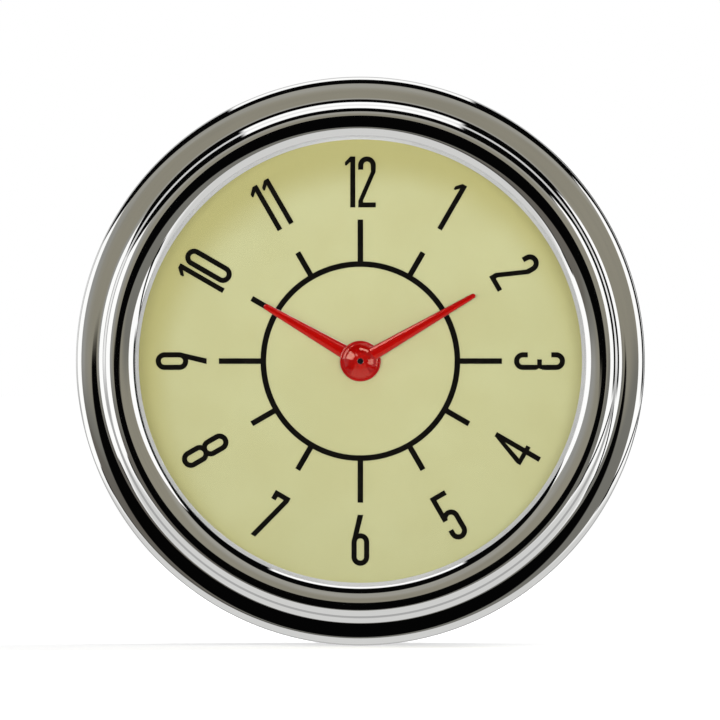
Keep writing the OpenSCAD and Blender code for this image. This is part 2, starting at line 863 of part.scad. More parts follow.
// The post is pressed in the front plate and has a shoulder under the wheel
module motion_post() {
    color("silver") lay() translate([0, motion_y]) {
        tube(motion_post_r, 0, front_plate_rear, dial_rear - wheel_gap);
        tube(post_collar_r, 0, front_plate_front, motion_wheel_rear - run);
    }
}

module hour_wheel() {
    high = hour_wheel_rear + wheel_t;
    color("gold") lay() {
        gear(hour_wheel_teeth, hour_module, gap_phase(-90, hour_wheel_teeth), hour_pipe_bore_r,
            hour_wheel_rear, high);
        tube(hour_pipe_r, hour_pipe_bore_r, hour_wheel_rear, hour_hub_front);
    }
}

module intermediate_wheel() {
    color("gold") lay() translate([intermediate_x, 0])
        gear(intermediate_teeth, train_module, rotor_dir, intermediate_arbor_r + slip,
            intermediate_wheel_rear, intermediate_wheel_rear + wheel_t);
}

// Arbor with its pinion of eight leaves
module pinion_arbor(phase, end_r, body_r, low, high) {
    tube(end_r, 0, back_plate_rear + pivot_gap, front_plate_front - pivot_gap);
    tube(body_r, 0, back_plate_front + arbor_end, front_plate_rear - arbor_end);
    gear(pinion_teeth, train_module, phase, end_r / 2, low, high);
}

module intermediate_arbor() {
    low = centre_wheel_rear - pinion_over;
    color("silver") lay() translate([intermediate_x, 0]) {
        pinion_arbor(gap_phase(0, pinion_teeth), pivot_r, intermediate_arbor_r, low,
            centre_wheel_rear + wheel_t + pinion_over);
        tube(collar_r, 0, intermediate_wheel_rear - collar_h, intermediate_wheel_rear);
    }
}

module rotor_arbor() {
    color("silver") lay() translate([rotor_x, rotor_y])
        pinion_arbor(gap_phase(rotor_dir + 180, pinion_teeth), rotor_pivot_r, rotor_arbor_r,
            intermediate_wheel_rear - pinion_over, intermediate_wheel_rear + wheel_t + pinion_over);
}

module rotor_magnet() {
    color("black") lay() translate([rotor_x, rotor_y])
        tube(magnet_r, rotor_arbor_r + slip, magnet_rear, magnet_rear + magnet_t);
}

// The stator's plate has a hole round the magnet and stands on the core's legs
module stator() {
    color("gray") lay() translate([rotor_x, rotor_y, stator_rear]) difference() {
        translate([-stator_half_l, -stator_w / 2]) cube([2 * stator_half_l, stator_w, stator_t]);
        translate([0, 0, -cut]) cylinder(r = magnet_r + free_gap, h = stator_t + 2 * cut);
    }
}

module coil_core() {
    color("gray") lay() translate([rotor_x, rotor_y]) {
        translate([-leg_x - leg_w / 2, -leg_w / 2, core_front - core_t])
            cube([2 * leg_x + leg_w, leg_w, core_t]);
        for (s = [-1, 1]) translate([s * leg_x - leg_w / 2, -leg_w / 2, core_front - core_t])
            cube([leg_w, leg_w, stator_rear - core_front + core_t]);
    }
}

// The bobbin is a spool with square flanges round the core's bar
module coil_bobbin() {
    color("ivory") lay() translate([rotor_x, rotor_y, core_front - core_t / 2]) difference() {
        union() {
            for (s = [-1, 1]) translate([s * (bobbin_half_l - bobbin_flange_t / 2), 0])
                cube([bobbin_flange_t, bobbin_flange_w, bobbin_flange_w], center = true);
            rotate([0, 90, 0]) cylinder(r = bobbin_r, h = 2 * bobbin_half_l - bobbin_flange_t, center = true);
        }
        cube([2 * bobbin_half_l + cut, leg_w + 2 * slip, core_t + 2 * slip], center = true);
    }
}

module coil_winding() {
    l = 2 * (bobbin_half_l - bobbin_flange_t);
    color("chocolate") lay() translate([rotor_x, rotor_y, core_front - core_t / 2])
        rotate([0, 90, 0]) difference() {
            cylinder(r = winding_r, h = l, center = true);
            cylinder(r = bobbin_r, h = l + cut, center = true);
        }
}

// The board rests on the shoulders of the case pillars, with a notch for the bulb
module circuit_board() {
    color("darkgreen") lay() difference() {
        union() {
            tube(board_r, 0, board_rear, board_front);
            ring_of(pillar_at, pillar_ring_r) tube(pillar_r + board_ear_w, 0, board_rear, board_front);
        }
        translate([0, 0, board_rear - cut]) {
            h = board_t + 2 * cut;
            ring_of(pillar_at, pillar_ring_r) cylinder(r = pillar_r + slip, h = h);
            translate([0, setting_y]) cylinder(r = setting_arbor_r + setting_hole_gap, h = h);
            translate([bulb_x, bulb_y]) cylinder(r = board_notch_r, h = h);
        }
    }
}

module quartz_crystal() {
    color("silver") lay() translate([crystal_at[0], crystal_at[1], board_rear - crystal_r])
        rotate([0, -90, 0]) cylinder(r = crystal_r, h = crystal_l);
}

module clock_chip() {
    color("black") lay() translate([chip_at[0], chip_at[1], board_rear - chip_h])
        cube([chip_w, chip_l, chip_h]);
}

module capacitor() {
    color("navy") lay() translate([capacitor_at[0], capacitor_at[1], board_rear - capacitor_h])
        cylinder(r = capacitor_r, h = capacitor_h);
}

module resistors() {
    color("tan") lay() for (y = resistor_rows) translate([resistor_x, y, board_rear - resistor_r])
        rotate([0, 90, 0]) cylinder(r = resistor_r, h = resistor_l);
}

// Pillars from the case's back through the board to the movement, with a threaded spigot
module case_pillars() {
    color("silver") lay() ring_of(pillar_at, pillar_ring_r) difference() {
        union() {
            tube(case_pillar_r, 0, back_inside, board_rear);
            tube(pillar_r, 0, board_rear - bite, back_plate_rear);
            tube(screw_r, 0, back_plate_rear - bite, back_plate_front + screw_l - free_gap);
        }
        translate([0, 0, back_inside - cut]) cylinder(r = case_screw_r + run, h = case_screw_l + free_gap + cut);
    }
}

module case_screws() {
    color("silver") lay() ring_of(pillar_at, pillar_ring_r) difference() {
        union() {
            tube(case_screw_head_r, 0, back_outside - case_screw_head_t, back_outside);
            tube(case_screw_r, 0, back_outside - bite, back_inside + case_screw_l);
        }
        translate([-case_screw_head_r - cut, -case_screw_slot_w / 2, back_outside - case_screw_head_t - cut])
            cube([2 * case_screw_head_r + 2 * cut, case_screw_slot_w, cut + case_screw_head_t / 2]);
    }
}

// The setting pinion stays in mesh with the motion wheel
module setting_arbor() {
    color("silver") lay() translate([0, setting_y]) {
        tube(setting_arbor_r, 0, knob_rear + knob_end_t, cannon_front);
        gear(setting_teeth, motion_module, 90, setting_arbor_r / 2, cannon_rear, cannon_front);
        tube(setting_collar_r, 0, back_inside + free_gap, back_inside + free_gap + setting_collar_h);
    }
}

module setting_bush() {
    color("gold") lay() translate([0, setting_y]) {
        tube(bush_r, setting_arbor_r + run, back_outside - bush_flange_t, back_inside);
        tube(bush_flange_r, setting_arbor_r + run, back_outside - bush_flange_t, back_outside);
    }
}

module setting_knob() {
    color("black") lay() translate([0, setting_y, knob_rear]) difference() {
        linear_extrude(knob_h) ribbed(knob_d / 2, knob_ribs, knob_rib_depth);
        translate([0, 0, knob_end_t]) cylinder(r = setting_arbor_r + slip, h = knob_h);
    }
}

// Terminal studs: head inside, shank through the bush and nut, free end of thread
module terminal_studs() {
    head_rear = back_inside + inner_washer_t;
    color("goldenrod") lay() ring_of(terminal_at, terminal_r) {
        tube(head_r, 0, head_rear, head_rear + head_t);
        tube(shank_r, 0, nut_rear - bite, head_rear + bite);
        tube(thread_r, 0, nut_rear - terminal_free_l, nut_rear);
    }
}

module terminal_insulators() {
    color("saddlebrown") lay() ring_of(terminal_at, terminal_r) {
        tube(insulator_body_r, shank_r + slip, back_outside - insulator_t, back_inside);
        tube(insulator_flange_r, shank_r + slip, back_outside - insulator_t, back_outside);
    }
}

module insulating_washers() {
    color("saddlebrown") lay() ring_of(terminal_at, terminal_r)
        tube(inner_washer_r, shank_r + slip, back_inside, back_inside + inner_washer_t);
}

module terminal_washers() {
    high = back_outside - insulator_t;
    color("silver") lay() ring_of(terminal_at, terminal_r)
        tube(lock_washer_r, shank_r + slip, high - lock_washer_t, high);
}

module terminal_nuts() {
    color("goldenrod") lay() ring_of(terminal_at, terminal_r) translate([0, 0, nut_rear]) difference() {
        cylinder(d = hex_flats / cos(30), h = hex_h, $fn = 6);
        translate([0, 0, -cut]) cylinder(r = shank_r + slip, h = hex_h + 2 * cut);
    }
}

// Stiff wires from the terminal studs' heads to the board
module lead_wires() {
    color("red") lay() ring_of(terminal_at, terminal_r)
        tube(wire_r, 0, back_inside + inner_washer_t + head_t, board_rear);
}

module clamp_studs() {
    color("silver") lay() left_and_right(clamp_stud_r) {
        tube(head_r, 0, back_inside, back_inside + head_t);
        tube(thread_r, 0, back_outside - clamp_stud_l, back_inside + bite);
    }
}

// The strap seen from above: a bar behind the case and two legs bent forward
module clamp_bracket() {
    out_x = leg_in_x + strap_t;
    out_r = strap_bend_r + strap_t;
    color("silver") lay() difference() {
        translate([0, strap_w / 2, 0]) rotate([90, 0, 0]) linear_extrude(strap_w) difference() {
            union() {
                translate([-out_x, bar_rear + out_r]) square([2 * out_x, -panel_gap - bar_rear - out_r]);
                translate([-out_x + out_r, bar_rear]) square([2 * (out_x - out_r), out_r]);
                for (s = [-1, 1]) translate([s * (out_x - out_r), bar_rear + out_r]) circle(out_r);
            }
            translate([-leg_in_x, bar_front + strap_bend_r])
                square([2 * leg_in_x, -panel_gap - bar_front + cut]);
            translate([-leg_in_x + strap_bend_r, bar_front])
                square([2 * (leg_in_x - strap_bend_r), strap_bend_r + cut]);
            for (s = [-1, 1]) translate([s * (leg_in_x - strap_bend_r), bar_front + strap_bend_r])
                circle(strap_bend_r);
        }
        left_and_right(clamp_stud_r) translate([0, 0, bar_rear - cut])
            cylinder(r = stud_hole_r, h = strap_t + 2 * cut);
    }
}

module clamp_washers() {
    color("silver") lay() left_and_right(clamp_stud_r)
        tube(lock_washer_r, washer_hole_r, bar_rear - lock_washer_t, bar_rear);
}

// A ribbed thumb nut that seats on the clamp's washer
module thumb_nut(x) {
    high = bar_rear - lock_washer_t;
    low = high - nut_h;
    color("goldenrod") lay() translate([x, 0, low]) difference() {
        union() {
            linear_extrude(nut_h - nut_flange_t + bite) ribbed(nut_grip_r, nut_ribs, nut_rib_depth);
            translate([0, 0, nut_h - nut_flange_t]) cylinder(r = nut_flange_r, h = nut_flange_t);
        }
        translate([0, 0, -cut]) cylinder(r = thread_r + run, h = nut_h + 2 * cut);
    }
}

module left_thumb_nut() {
    thumb_nut(-clamp_stud_r);
}

module right_thumb_nut() {
    thumb_nut(clamp_stud_r);
}

// The bulb socket is pushed in from behind and has a flat grip for the fingers
module bulb_socket() {
    color("black") lay() translate([bulb_x, bulb_y]) difference() {
        union() {
            tube(socket_body_r, 0, back_outside - bite, back_outside + socket_l);
            tube(socket_flange_d / 2, 0, back_outside - socket_flange_t, back_outside);
            translate([-socket_grip_l / 2, -socket_grip_w / 2, back_outside - socket_flange_t - socket_grip_h])
                cube([socket_grip_l, socket_grip_w, socket_grip_h + bite]);
        }
        translate([0, 0, back_outside + socket_l - bulb_base_l])
            cylinder(r = bulb_r + slip, h = bulb_base_l + cut);
    }
}

module bulb() {
    low = back_outside + socket_l - bulb_base_l;
    color("white", 0.5) lay() translate([bulb_x, bulb_y, low]) {
        cylinder(r = bulb_r, h = bulb_l - bulb_r);
        translate([0, 0, bulb_l - bulb_r]) sphere(bulb_r);
    }
}

bezel();
lens();
lens_gasket();
trim_ring();
dial();
dial_track();
numerals();
hour_hand();
minute_hand();
case();
front_plate();
back_plate();
plate_pillars();
plate_screws();
dial_posts();
centre_arbor();
cannon_pinion();
centre_wheel();
friction_spring();
motion_wheel();
motion_pinion();
motion_post();
hour_wheel();
intermediate_wheel();
intermediate_arbor();
rotor_magnet();
rotor_arbor();
stator();
coil_core();
coil_bobbin();
coil_winding();
circuit_board();
quartz_crystal();
clock_chip();
capacitor();
resistors();
case_pillars();
case_screws();
setting_arbor();
setting_bush();
setting_knob();
terminal_studs();
terminal_insulators();
insulating_washers();
terminal_washers();
terminal_nuts();
lead_wires();
clamp_studs();
clamp_bracket();
clamp_washers();
left_thumb_nut();
right_thumb_nut();
bulb_socket();
bulb();
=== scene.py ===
"""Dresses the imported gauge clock: chrome bezel, glass, dial, hands, case and rear fittings."""
import json
import logging
import math
from dataclasses import dataclass
from enum import Enum
from typing import Optional

import bmesh
import bpy
from mathutils import Matrix, Vector

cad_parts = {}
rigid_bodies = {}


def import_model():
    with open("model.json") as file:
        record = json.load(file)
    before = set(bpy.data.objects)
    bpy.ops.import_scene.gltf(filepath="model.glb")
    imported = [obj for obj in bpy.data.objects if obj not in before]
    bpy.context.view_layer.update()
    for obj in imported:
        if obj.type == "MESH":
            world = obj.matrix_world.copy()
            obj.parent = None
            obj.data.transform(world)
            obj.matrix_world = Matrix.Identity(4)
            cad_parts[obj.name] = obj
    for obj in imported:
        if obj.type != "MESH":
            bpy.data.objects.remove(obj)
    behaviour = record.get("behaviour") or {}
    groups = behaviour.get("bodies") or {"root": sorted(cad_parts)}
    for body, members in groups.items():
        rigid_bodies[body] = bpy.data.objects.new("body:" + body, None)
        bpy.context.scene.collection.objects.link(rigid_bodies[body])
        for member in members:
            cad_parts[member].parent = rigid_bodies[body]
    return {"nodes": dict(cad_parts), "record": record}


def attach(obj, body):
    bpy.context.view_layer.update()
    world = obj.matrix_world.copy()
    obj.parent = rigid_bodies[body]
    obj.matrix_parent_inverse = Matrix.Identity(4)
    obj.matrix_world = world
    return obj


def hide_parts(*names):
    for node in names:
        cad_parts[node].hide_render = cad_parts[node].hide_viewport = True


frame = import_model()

LOG = logging.getLogger("gauge_clock")
MM = 0.001
LATHE_STEPS = 192
ON_PLANE = 1e-5
BYTE_TOP = 255
DARK_LIMIT, DARK_SLOPE = 0.04045, 12.92
GAMMA, GAMMA_SHIFT = 2.4, 0.055
Colour = tuple[float, float, float]
Step = tuple[float, float]


def linear(red: int, green: int, blue: int) -> Colour:
    """Turns a colour of 0 to 255 as seen on a screen into the renderer's linear values.

    Args:
        red: The red value.
        green: The green value.
        blue: The blue value.

    Returns:
        The three linear values.
    """
    parts = [c / BYTE_TOP for c in (red, green, blue)]
    return tuple(
        c / DARK_SLOPE if c < DARK_LIMIT else ((c + GAMMA_SHIFT) / (1 + GAMMA_SHIFT)) ** GAMMA
        for c in parts
    )


# Node maths


class Signal:
    """A value in a node tree, which can be added to, multiplied by and compared with others."""

    def __init__(self, tree: bpy.types.NodeTree, socket: bpy.types.NodeSocket) -> None:
        """Holds an output socket of a tree."""
        self.tree = tree
        self.socket = socket

    def maths(self, operation: str, *others: "Signal | float") -> "Signal":
        """Adds a Math node.

        Args:
            operation: The node's operation.
            others: The inputs after this one.

        Returns:
            The node's result.
        """
        node = self.tree.nodes.new("ShaderNodeMath")
        node.operation = operation
        for socket, value in zip(node.inputs, (self, *others)):
            if isinstance(value, Signal):
                self.tree.links.new(value.socket, socket)
            else:
                socket.default_value = value
        return Signal(self.tree, node.outputs[0])

    def __add__(self, other: "Signal | float") -> "Signal":
        """Returns the sum."""
        return self.maths("ADD", other)

    def __sub__(self, other: "Signal | float") -> "Signal":
        """Returns the difference."""
        return self.maths("SUBTRACT", other)

    def __mul__(self, other: "Signal | float") -> "Signal":
        """Returns the product."""
        return self.maths("MULTIPLY", other)

    def __truediv__(self, other: "Signal | float") -> "Signal":
        """Returns the quotient."""
        return self.maths("DIVIDE", other)

    def power(self, other: float) -> "Signal":
        """Returns this value to a power."""
        return self.maths("POWER", other)

    def least(self, other: "Signal | float") -> "Signal":
        """Returns the smaller of the two."""
        return self.maths("MINIMUM", other)

    def most(self, other: "Signal | float") -> "Signal":
        """Returns the larger of the two."""
        return self.maths("MAXIMUM", other)

    def size(self) -> "Signal":
        """Returns the value without its sign."""
        return self.maths("ABSOLUTE")

    def invert(self) -> "Signal":
        """Returns one minus the value."""
        return self * -1.0 + 1.0

    def rise(self, low: float, high: float) -> "Signal":
        """Returns 0 below low and 1 above high, with a smooth step between them.

        Args:
            low: Where the step begins.
            high: Where it ends. With high below low, the step falls.

        Returns:
            The step.
        """
        node = self.tree.nodes.new("ShaderNodeMapRange")
        node.interpolation_type = "SMOOTHSTEP"
        self.tree.links.new(self.socket, node.inputs["Value"])
        falls = high < low
        node.inputs["From Min"].default_value = min(low, high)
        node.inputs["From Max"].default_value = max(low, high)
        node.inputs["To Min"].default_value = 1.0 if falls else 0.0
        node.inputs["To Max"].default_value = 0.0 if falls else 1.0
        return Signal(self.tree, node.outputs["Result"])


def mixed(tree: bpy.types.NodeTree, share: Signal, first: object, second: object) -> Signal:
    """Mixes two colours.

    Args:
        tree: The node tree.
        share: How much of the second colour shows.
        first: A colour, or a Signal that carries one.
        second: A colour, or a Signal that carries one.

    Returns:
        The mixed colour.
    """
    node = tree.nodes.new("ShaderNodeMix")
    node.data_type = "RGBA"
    tree.links.new(share.socket, node.inputs["Factor"])
    for name, colour in (("A", first), ("B", second)):
        socket = [s for s in node.inputs if s.name == name and s.type == "RGBA"][0]
        if isinstance(colour, Signal):
            tree.links.new(colour.socket, socket)
        else:
            socket.default_value = (*colour, 1.0)
    return Signal(tree, [s for s in node.outputs if s.type == "RGBA"][0])


def place_in(tree: bpy.types.NodeTree, kind: str = "Object") -> Signal:
    """Returns the place on the piece in metres, or with Generated the world's direction."""
    return Signal(tree, tree.nodes.new("ShaderNodeTexCoord").outputs[kind])


def axes_of(place: Signal) -> tuple[Signal, Signal, Signal]:
    """Splits a place or a direction into its three parts.

    Args:
        place: The place or direction.

    Returns:
        Its x, y and z.
    """
    parts = place.tree.nodes.new("ShaderNodeSeparateXYZ")
    place.tree.links.new(place.socket, parts.inputs[0])
    return tuple(Signal(place.tree, output) for output in parts.outputs)


def length_of(first: Signal, second: Signal) -> Signal:
    """Returns the length of a line from its two sides at a right angle."""
    return (first * first + second * second).power(0.5)


def noise(tree: bpy.types.NodeTree, place: Signal, scale: float, detail: float = 3) -> Signal:
    """Adds a noise pattern.

    Args:
        tree: The node tree.
        place: Where the pattern is read.
        scale: Waves for each metre.
        detail: How many finer layers it has.

    Returns:
        The pattern, from 0 to 1.
    """
    node = tree.nodes.new("ShaderNodeTexNoise")
    node.inputs["Scale"].default_value = scale
    node.inputs["Detail"].default_value = detail
    tree.links.new(place.socket, node.inputs["Vector"])
    return Signal(tree, node.outputs["Fac"])


# Shared node groups


class Effect(Enum):
    """The effects that several finishes share, each a node group."""

    EDGE_WEAR = "edge_wear"
    DUST = "settled_dust"
    GRAIN = "fine_grain"
    MOTTLE = "mottle"


class SharedEffects:
    """Makes each shared node group once and places it in a finish's tree."""

    WEAR_REACH = 0.25 * MM
    WEAR_SAMPLES = 4
    EDGE_STEP: Step = (0.97, 0.8)
    UPWARD_STEP: Step = (0.3, 1.0)
    PATTERN_STEP: dict[Effect, Step] = {
        Effect.EDGE_WEAR: (0.42, 0.62),
        Effect.DUST: (0.35, 0.75),
        Effect.MOTTLE: (0.3, 0.7),
    }
    DETAIL = 4.0
    GRAIN_DETAIL = 1.0

    def __init__(self) -> None:
        """Starts with no groups made."""
        self.made: dict[Effect, bpy.types.NodeTree] = {}

    def use(self, tree: bpy.types.NodeTree, effect: Effect, scale: float) -> Signal:
        """Places an effect in a tree.

        Args:
            tree: The finish's tree.
            effect: Which effect.
            scale: The pattern's waves for each metre.

        Returns:
            The effect's mask, from 0 to 1.
        """
        if effect not in self.made:
            self.made[effect] = self._make(effect)
        node = tree.nodes.new("ShaderNodeGroup")
        node.node_tree = self.made[effect]
        node.inputs["Scale"].default_value = scale
        return Signal(tree, node.outputs["Mask"])

    def _make(self, effect: Effect) -> bpy.types.NodeTree:
        """Makes a group with a Scale input and a Mask output.

        Args:
            effect: Which effect.

        Returns:
            The group.
        """
        group = bpy.data.node_groups.new(effect.value, "ShaderNodeTree")
        group.interface.new_socket("Scale", in_out="INPUT", socket_type="NodeSocketFloat")
        group.interface.new_socket("Mask", in_out="OUTPUT", socket_type="NodeSocketFloat")
        entry = group.nodes.new("NodeGroupInput")
        leave = group.nodes.new("NodeGroupOutput")
        node = group.nodes.new("ShaderNodeTexNoise")
        group.links.new(place_in(group).socket, node.inputs["Vector"])
        group.links.new(entry.outputs["Scale"], node.inputs["Scale"])
        fine = effect is Effect.GRAIN
        node.inputs["Detail"].default_value = self.GRAIN_DETAIL if fine else self.DETAIL
        mask = Signal(group, node.outputs["Fac"])
        if not fine:
            mask = mask.rise(*self.PATTERN_STEP[effect])
        if effect is Effect.EDGE_WEAR:
            mask = self._edge(group) * mask
        elif effect is Effect.DUST:
            mask = self._upward(group) * mask
        group.links.new(mask.socket, leave.inputs["Mask"])
        return group

    def _edge(self, group: bpy.types.NodeTree) -> Signal:
        """Finds the piece's edges.

        Args:
            group: The effect's tree.

        Returns:
            A mask that is high along the outer and inner edges.
        """
        bevel = group.nodes.new("ShaderNodeBevel")
        bevel.inputs["Radius"].default_value = self.WEAR_REACH
        bevel.samples = self.WEAR_SAMPLES
        geometry = group.nodes.new("ShaderNodeNewGeometry")
        dot = group.nodes.new("ShaderNodeVectorMath")
        dot.operation = "DOT_PRODUCT"
        group.links.new(bevel.outputs["Normal"], dot.inputs[0])
        group.links.new(geometry.outputs["Normal"], dot.inputs[1])
        return Signal(group, dot.outputs["Value"]).rise(*self.EDGE_STEP)

    def _upward(self, group: bpy.types.NodeTree) -> Signal:
        """Finds where dust can settle.

        Args:
            group: The effect's tree.

        Returns:
            A mask that is high where the piece faces up.
        """
        geometry = group.nodes.new("ShaderNodeNewGeometry")
        up = axes_of(Signal(group, geometry.outputs["Normal"]))[2]
        return up.rise(*self.UPWARD_STEP)


EFFECTS = SharedEffects()


# Finishes


@dataclass(frozen=True)
class Finish:
    """A surface finish with grain, mottling, worn edges and settled dust."""

    WEAR_SCALE = 700.0
    WEAR_ROUGHENS = 0.1
    DUST_SCALE = 260.0
    DUST_COLOUR = (0.42, 0.40, 0.36)

    name: str
    slot: str
    colour: Colour
    second: Colour
    roughness: float
    spread: float = 0.06
    metallic: float = 0.0
    coat: float = 0.0
    specular: float = 0.5
    worn: Optional[Colour] = None
    worn_metal: float = 1.0
    wear: float = 0.6
    mottle_scale: float = 90.0
    grain_scale: float = 2500.0
    bump: float = 0.15
    bump_depth: float = 0.02 * MM
    dust: float = 0.05

    def material(self) -> bpy.types.Material:
        """Makes the finish's material, unless it is made already.

        Returns:
            The material.
        """
        name = self.name + "_finish"
        made = bpy.data.materials.get(name)
        if made is not None:
            return made
        made = bpy.data.materials.new(name)
        made.use_nodes = True
        tree = made.node_tree
        shader = tree.nodes["Principled BSDF"]
        self.dress(tree, shader)
        return made

    def dress(self, tree: bpy.types.NodeTree, shader: bpy.types.Node) -> None:
        """Links the finish's patterns to its shader.

        Args:
            tree: The material's tree.
            shader: Its Principled shader.
        """
        mottle = EFFECTS.use(tree, Effect.MOTTLE, self.mottle_scale)
        grain = EFFECTS.use(tree, Effect.GRAIN, self.grain_scale)
        colour = self.tint(tree, mixed(tree, mottle, self.colour, self.second))
        roughness = mottle * self.spread + grain * self.spread + (self.roughness - self.spread)
        shader.inputs["Metallic"].default_value = self.metallic
        if self.worn is not None:
            edge = EFFECTS.use(tree, Effect.EDGE_WEAR, self.WEAR_SCALE) * self.wear
            colour = mixed(tree, edge, colour, self.worn)
            roughness = roughness + edge * self.WEAR_ROUGHENS
            if self.worn_metal != self.metallic:
                metal = edge * (self.worn_metal - self.metallic) + self.metallic
                tree.links.new(metal.socket, shader.inputs["Metallic"])
        if self.dust:
            dust = EFFECTS.use(tree, Effect.DUST, self.DUST_SCALE) * self.dust
            colour = mixed(tree, dust, colour, self.DUST_COLOUR)
            roughness = roughness + dust
        tree.links.new(colour.socket, shader.inputs["Base Color"])
        tree.links.new(roughness.socket, shader.inputs["Roughness"])
        shader.inputs["Coat Weight"].default_value = self.coat
        shader.inputs["Specular IOR Level"].default_value = self.specular
        self.relief(tree, shader, self.height(tree, grain))

    def tint(self, tree: bpy.types.NodeTree, colour: Signal) -> Signal:
        """Returns the colour as it is; a finish with a pattern or a painted shade of its own
        changes it.
        """
        return colour

    def height(self, tree: bpy.types.NodeTree, grain: Signal) -> Signal:
        """Returns the surface's fine height, here its grain."""
        return grain

    def relief(self, tree: bpy.types.NodeTree, shader: bpy.types.Node, height: Signal) -> None:
        """Links a height to the shader's normal.

        Args:
            tree: The material's tree.
            shader: Its Principled shader.
            height: The height pattern, from 0 to 1.
        """
        bump = tree.nodes.new("ShaderNodeBump")
        bump.inputs["Strength"].default_value = self.bump
        bump.inputs["Distance"].default_value = self.bump_depth
        tree.links.new(height.socket, bump.inputs["Height"])
        tree.links.new(bump.outputs["Normal"], shader.inputs["Normal"])


@dataclass(frozen=True)
class TurnedMetal(Finish):
    """Metal with fine turning marks round the clock's axis, which is y."""

    RING_SHARE = 0.8
    RING_DETAIL = 2

    marks: float = 9000.0

    def height(self, tree: bpy.types.NodeTree, grain: Signal) -> Signal:
        """Draws rings round the axis, broken up by the grain.

        Args:
            tree: The material's tree.
            grain: The fine grain.

        Returns:
            The rings' height.
        """
        x, y, z = axes_of(place_in(tree))
        join = tree.nodes.new("ShaderNodeCombineXYZ")
        tree.links.new(length_of(x, z).socket, join.inputs[0])
        tree.links.new(y.socket, join.inputs[1])
        rings = noise(tree, Signal(tree, join.outputs[0]), self.marks, self.RING_DETAIL)
        return rings * self.RING_SHARE + grain * (1 - self.RING_SHARE)


@dataclass(frozen=True)
class DialPaintWithPaintedShade(Finish):
    """Ivory dial paint with painted shade, darker towards the top and the sides where the bezel
    shades the dial.
    """

    # The painted shade: this colour is mixed in between the two radii below. The centre is moved
    # right and down, so the bottom edge stays unshaded.
    deep: Colour = (0.495, 0.462, 0.188)
    shade_start_r: float = 20.5 * MM
    full_shade_r: float = 25.0 * MM
    aside: float = 1.1 * MM
    shade_centre_drop: float = 2.6 * MM

    def tint(self, tree: bpy.types.NodeTree, colour: Signal) -> Signal:
        """Paints shade towards the dial's edge, on top of the bezel's real shadow there.

        Args:
            tree: The material's tree.
            colour: The paint's plain colour.

        Returns:
            The colour with its painted edge shade.
        """
        # Painted shade: darker with distance from a centre right of and below the dial's middle.
        x, _, z = axes_of(place_in(tree))
        radius = length_of(x - self.aside, z + self.shade_centre_drop)
        return mixed(tree, radius.rise(self.shade_start_r, self.full_shade_r), colour, self.deep)


@dataclass(frozen=True)
class ClearGlass(Finish):
    """Clear glass that lets the lamps through."""

    ior: float = 1.5

    def dress(self, tree: bpy.types.NodeTree, shader: bpy.types.Node) -> None:
        """Makes the shader glass, and opens it for light that comes from the lamps.

        Args:
            tree: The material's tree.
            shader: Its Principled shader.
        """
        haze = EFFECTS.use(tree, Effect.MOTTLE, self.mottle_scale)
        tint = mixed(tree, haze, self.colour, self.second)
        tree.links.new(tint.socket, shader.inputs["Base Color"])
        shader.inputs["Roughness"].default_value = self.roughness
        shader.inputs["Transmission Weight"].default_value = 1.0
        shader.inputs["IOR"].default_value = self.ior
        wave = EFFECTS.use(tree, Effect.GRAIN, self.grain_scale)
        self.relief(tree, shader, wave)
        path = tree.nodes.new("ShaderNodeLightPath")
        shadow = Signal(tree, path.outputs["Is Shadow Ray"])
        open_to = shadow.most(Signal(tree, path.outputs["Is Diffuse Ray"]))
        clear = tree.nodes.new("ShaderNodeBsdfTransparent")
        either = tree.nodes.new("ShaderNodeMixShader")
        tree.links.new(open_to.socket, either.inputs[0])
        tree.links.new(shader.outputs[0], either.inputs[1])
        tree.links.new(clear.outputs[0], either.inputs[2])
        output = tree.nodes["Material Output"]
        tree.links.new(either.outputs[0], output.inputs["Surface"])


@dataclass(frozen=True)
class WoundWire(Finish):
    """Enamelled wire wound in close turns along x."""

    TURNS_A_WAVE = 6.3

    turns: float = 3200.0
    uneven: float = 0.3

    def height(self, tree: bpy.types.NodeTree, grain: Signal) -> Signal:
        """Draws the rounded tops of the wire's turns.

        Args:
            tree: The material's tree.
            grain: The fine grain, which wire doesn't show.

        Returns:
            The turns' height.
        """
        wave = tree.nodes.new("ShaderNodeTexWave")
        wave.bands_direction = "X"
        wave.inputs["Scale"].default_value = self.turns / self.TURNS_A_WAVE
        wave.inputs["Distortion"].default_value = self.uneven
        tree.links.new(place_in(tree).socket, wave.inputs["Vector"])
        return Signal(tree, wave.outputs["Fac"])


@dataclass(frozen=True)
class CircuitBoard(Finish):
    """Green lacquered board with copper tracks that show through."""

    BARE = (0.0, 0.0, 0.0, 1.0)
    TRACK = (1.0, 1.0, 1.0, 1.0)

    track: Colour = (0.10, 0.36, 0.12)
    track_scale: float = 320.0
    track_width: float = 0.06

    def tint(self, tree: bpy.types.NodeTree, colour: Signal) -> Signal:
        """Draws the tracks on the board.

        Args:
            tree: The material's tree.
            colour: The lacquer's colour.

        Returns:
            The colour with the tracks.
        """
        bricks = tree.nodes.new("ShaderNodeTexBrick")
        for name, value in (
            ("Scale", self.track_scale),
            ("Mortar Size", self.track_width),
            ("Color1", self.BARE),
            ("Color2", self.BARE),
            ("Mortar", self.TRACK),
        ):
            bricks.inputs[name].default_value = value
        turn = tree.nodes.new("ShaderNodeMapping")
        turn.inputs["Rotation"].default_value = (math.pi / 2, 0, 0)
        tree.links.new(place_in(tree).socket, turn.inputs["Vector"])
        tree.links.new(turn.outputs["Vector"], bricks.inputs["Vector"])
        return mixed(tree, Signal(tree, bricks.outputs["Color"]), colour, self.track)


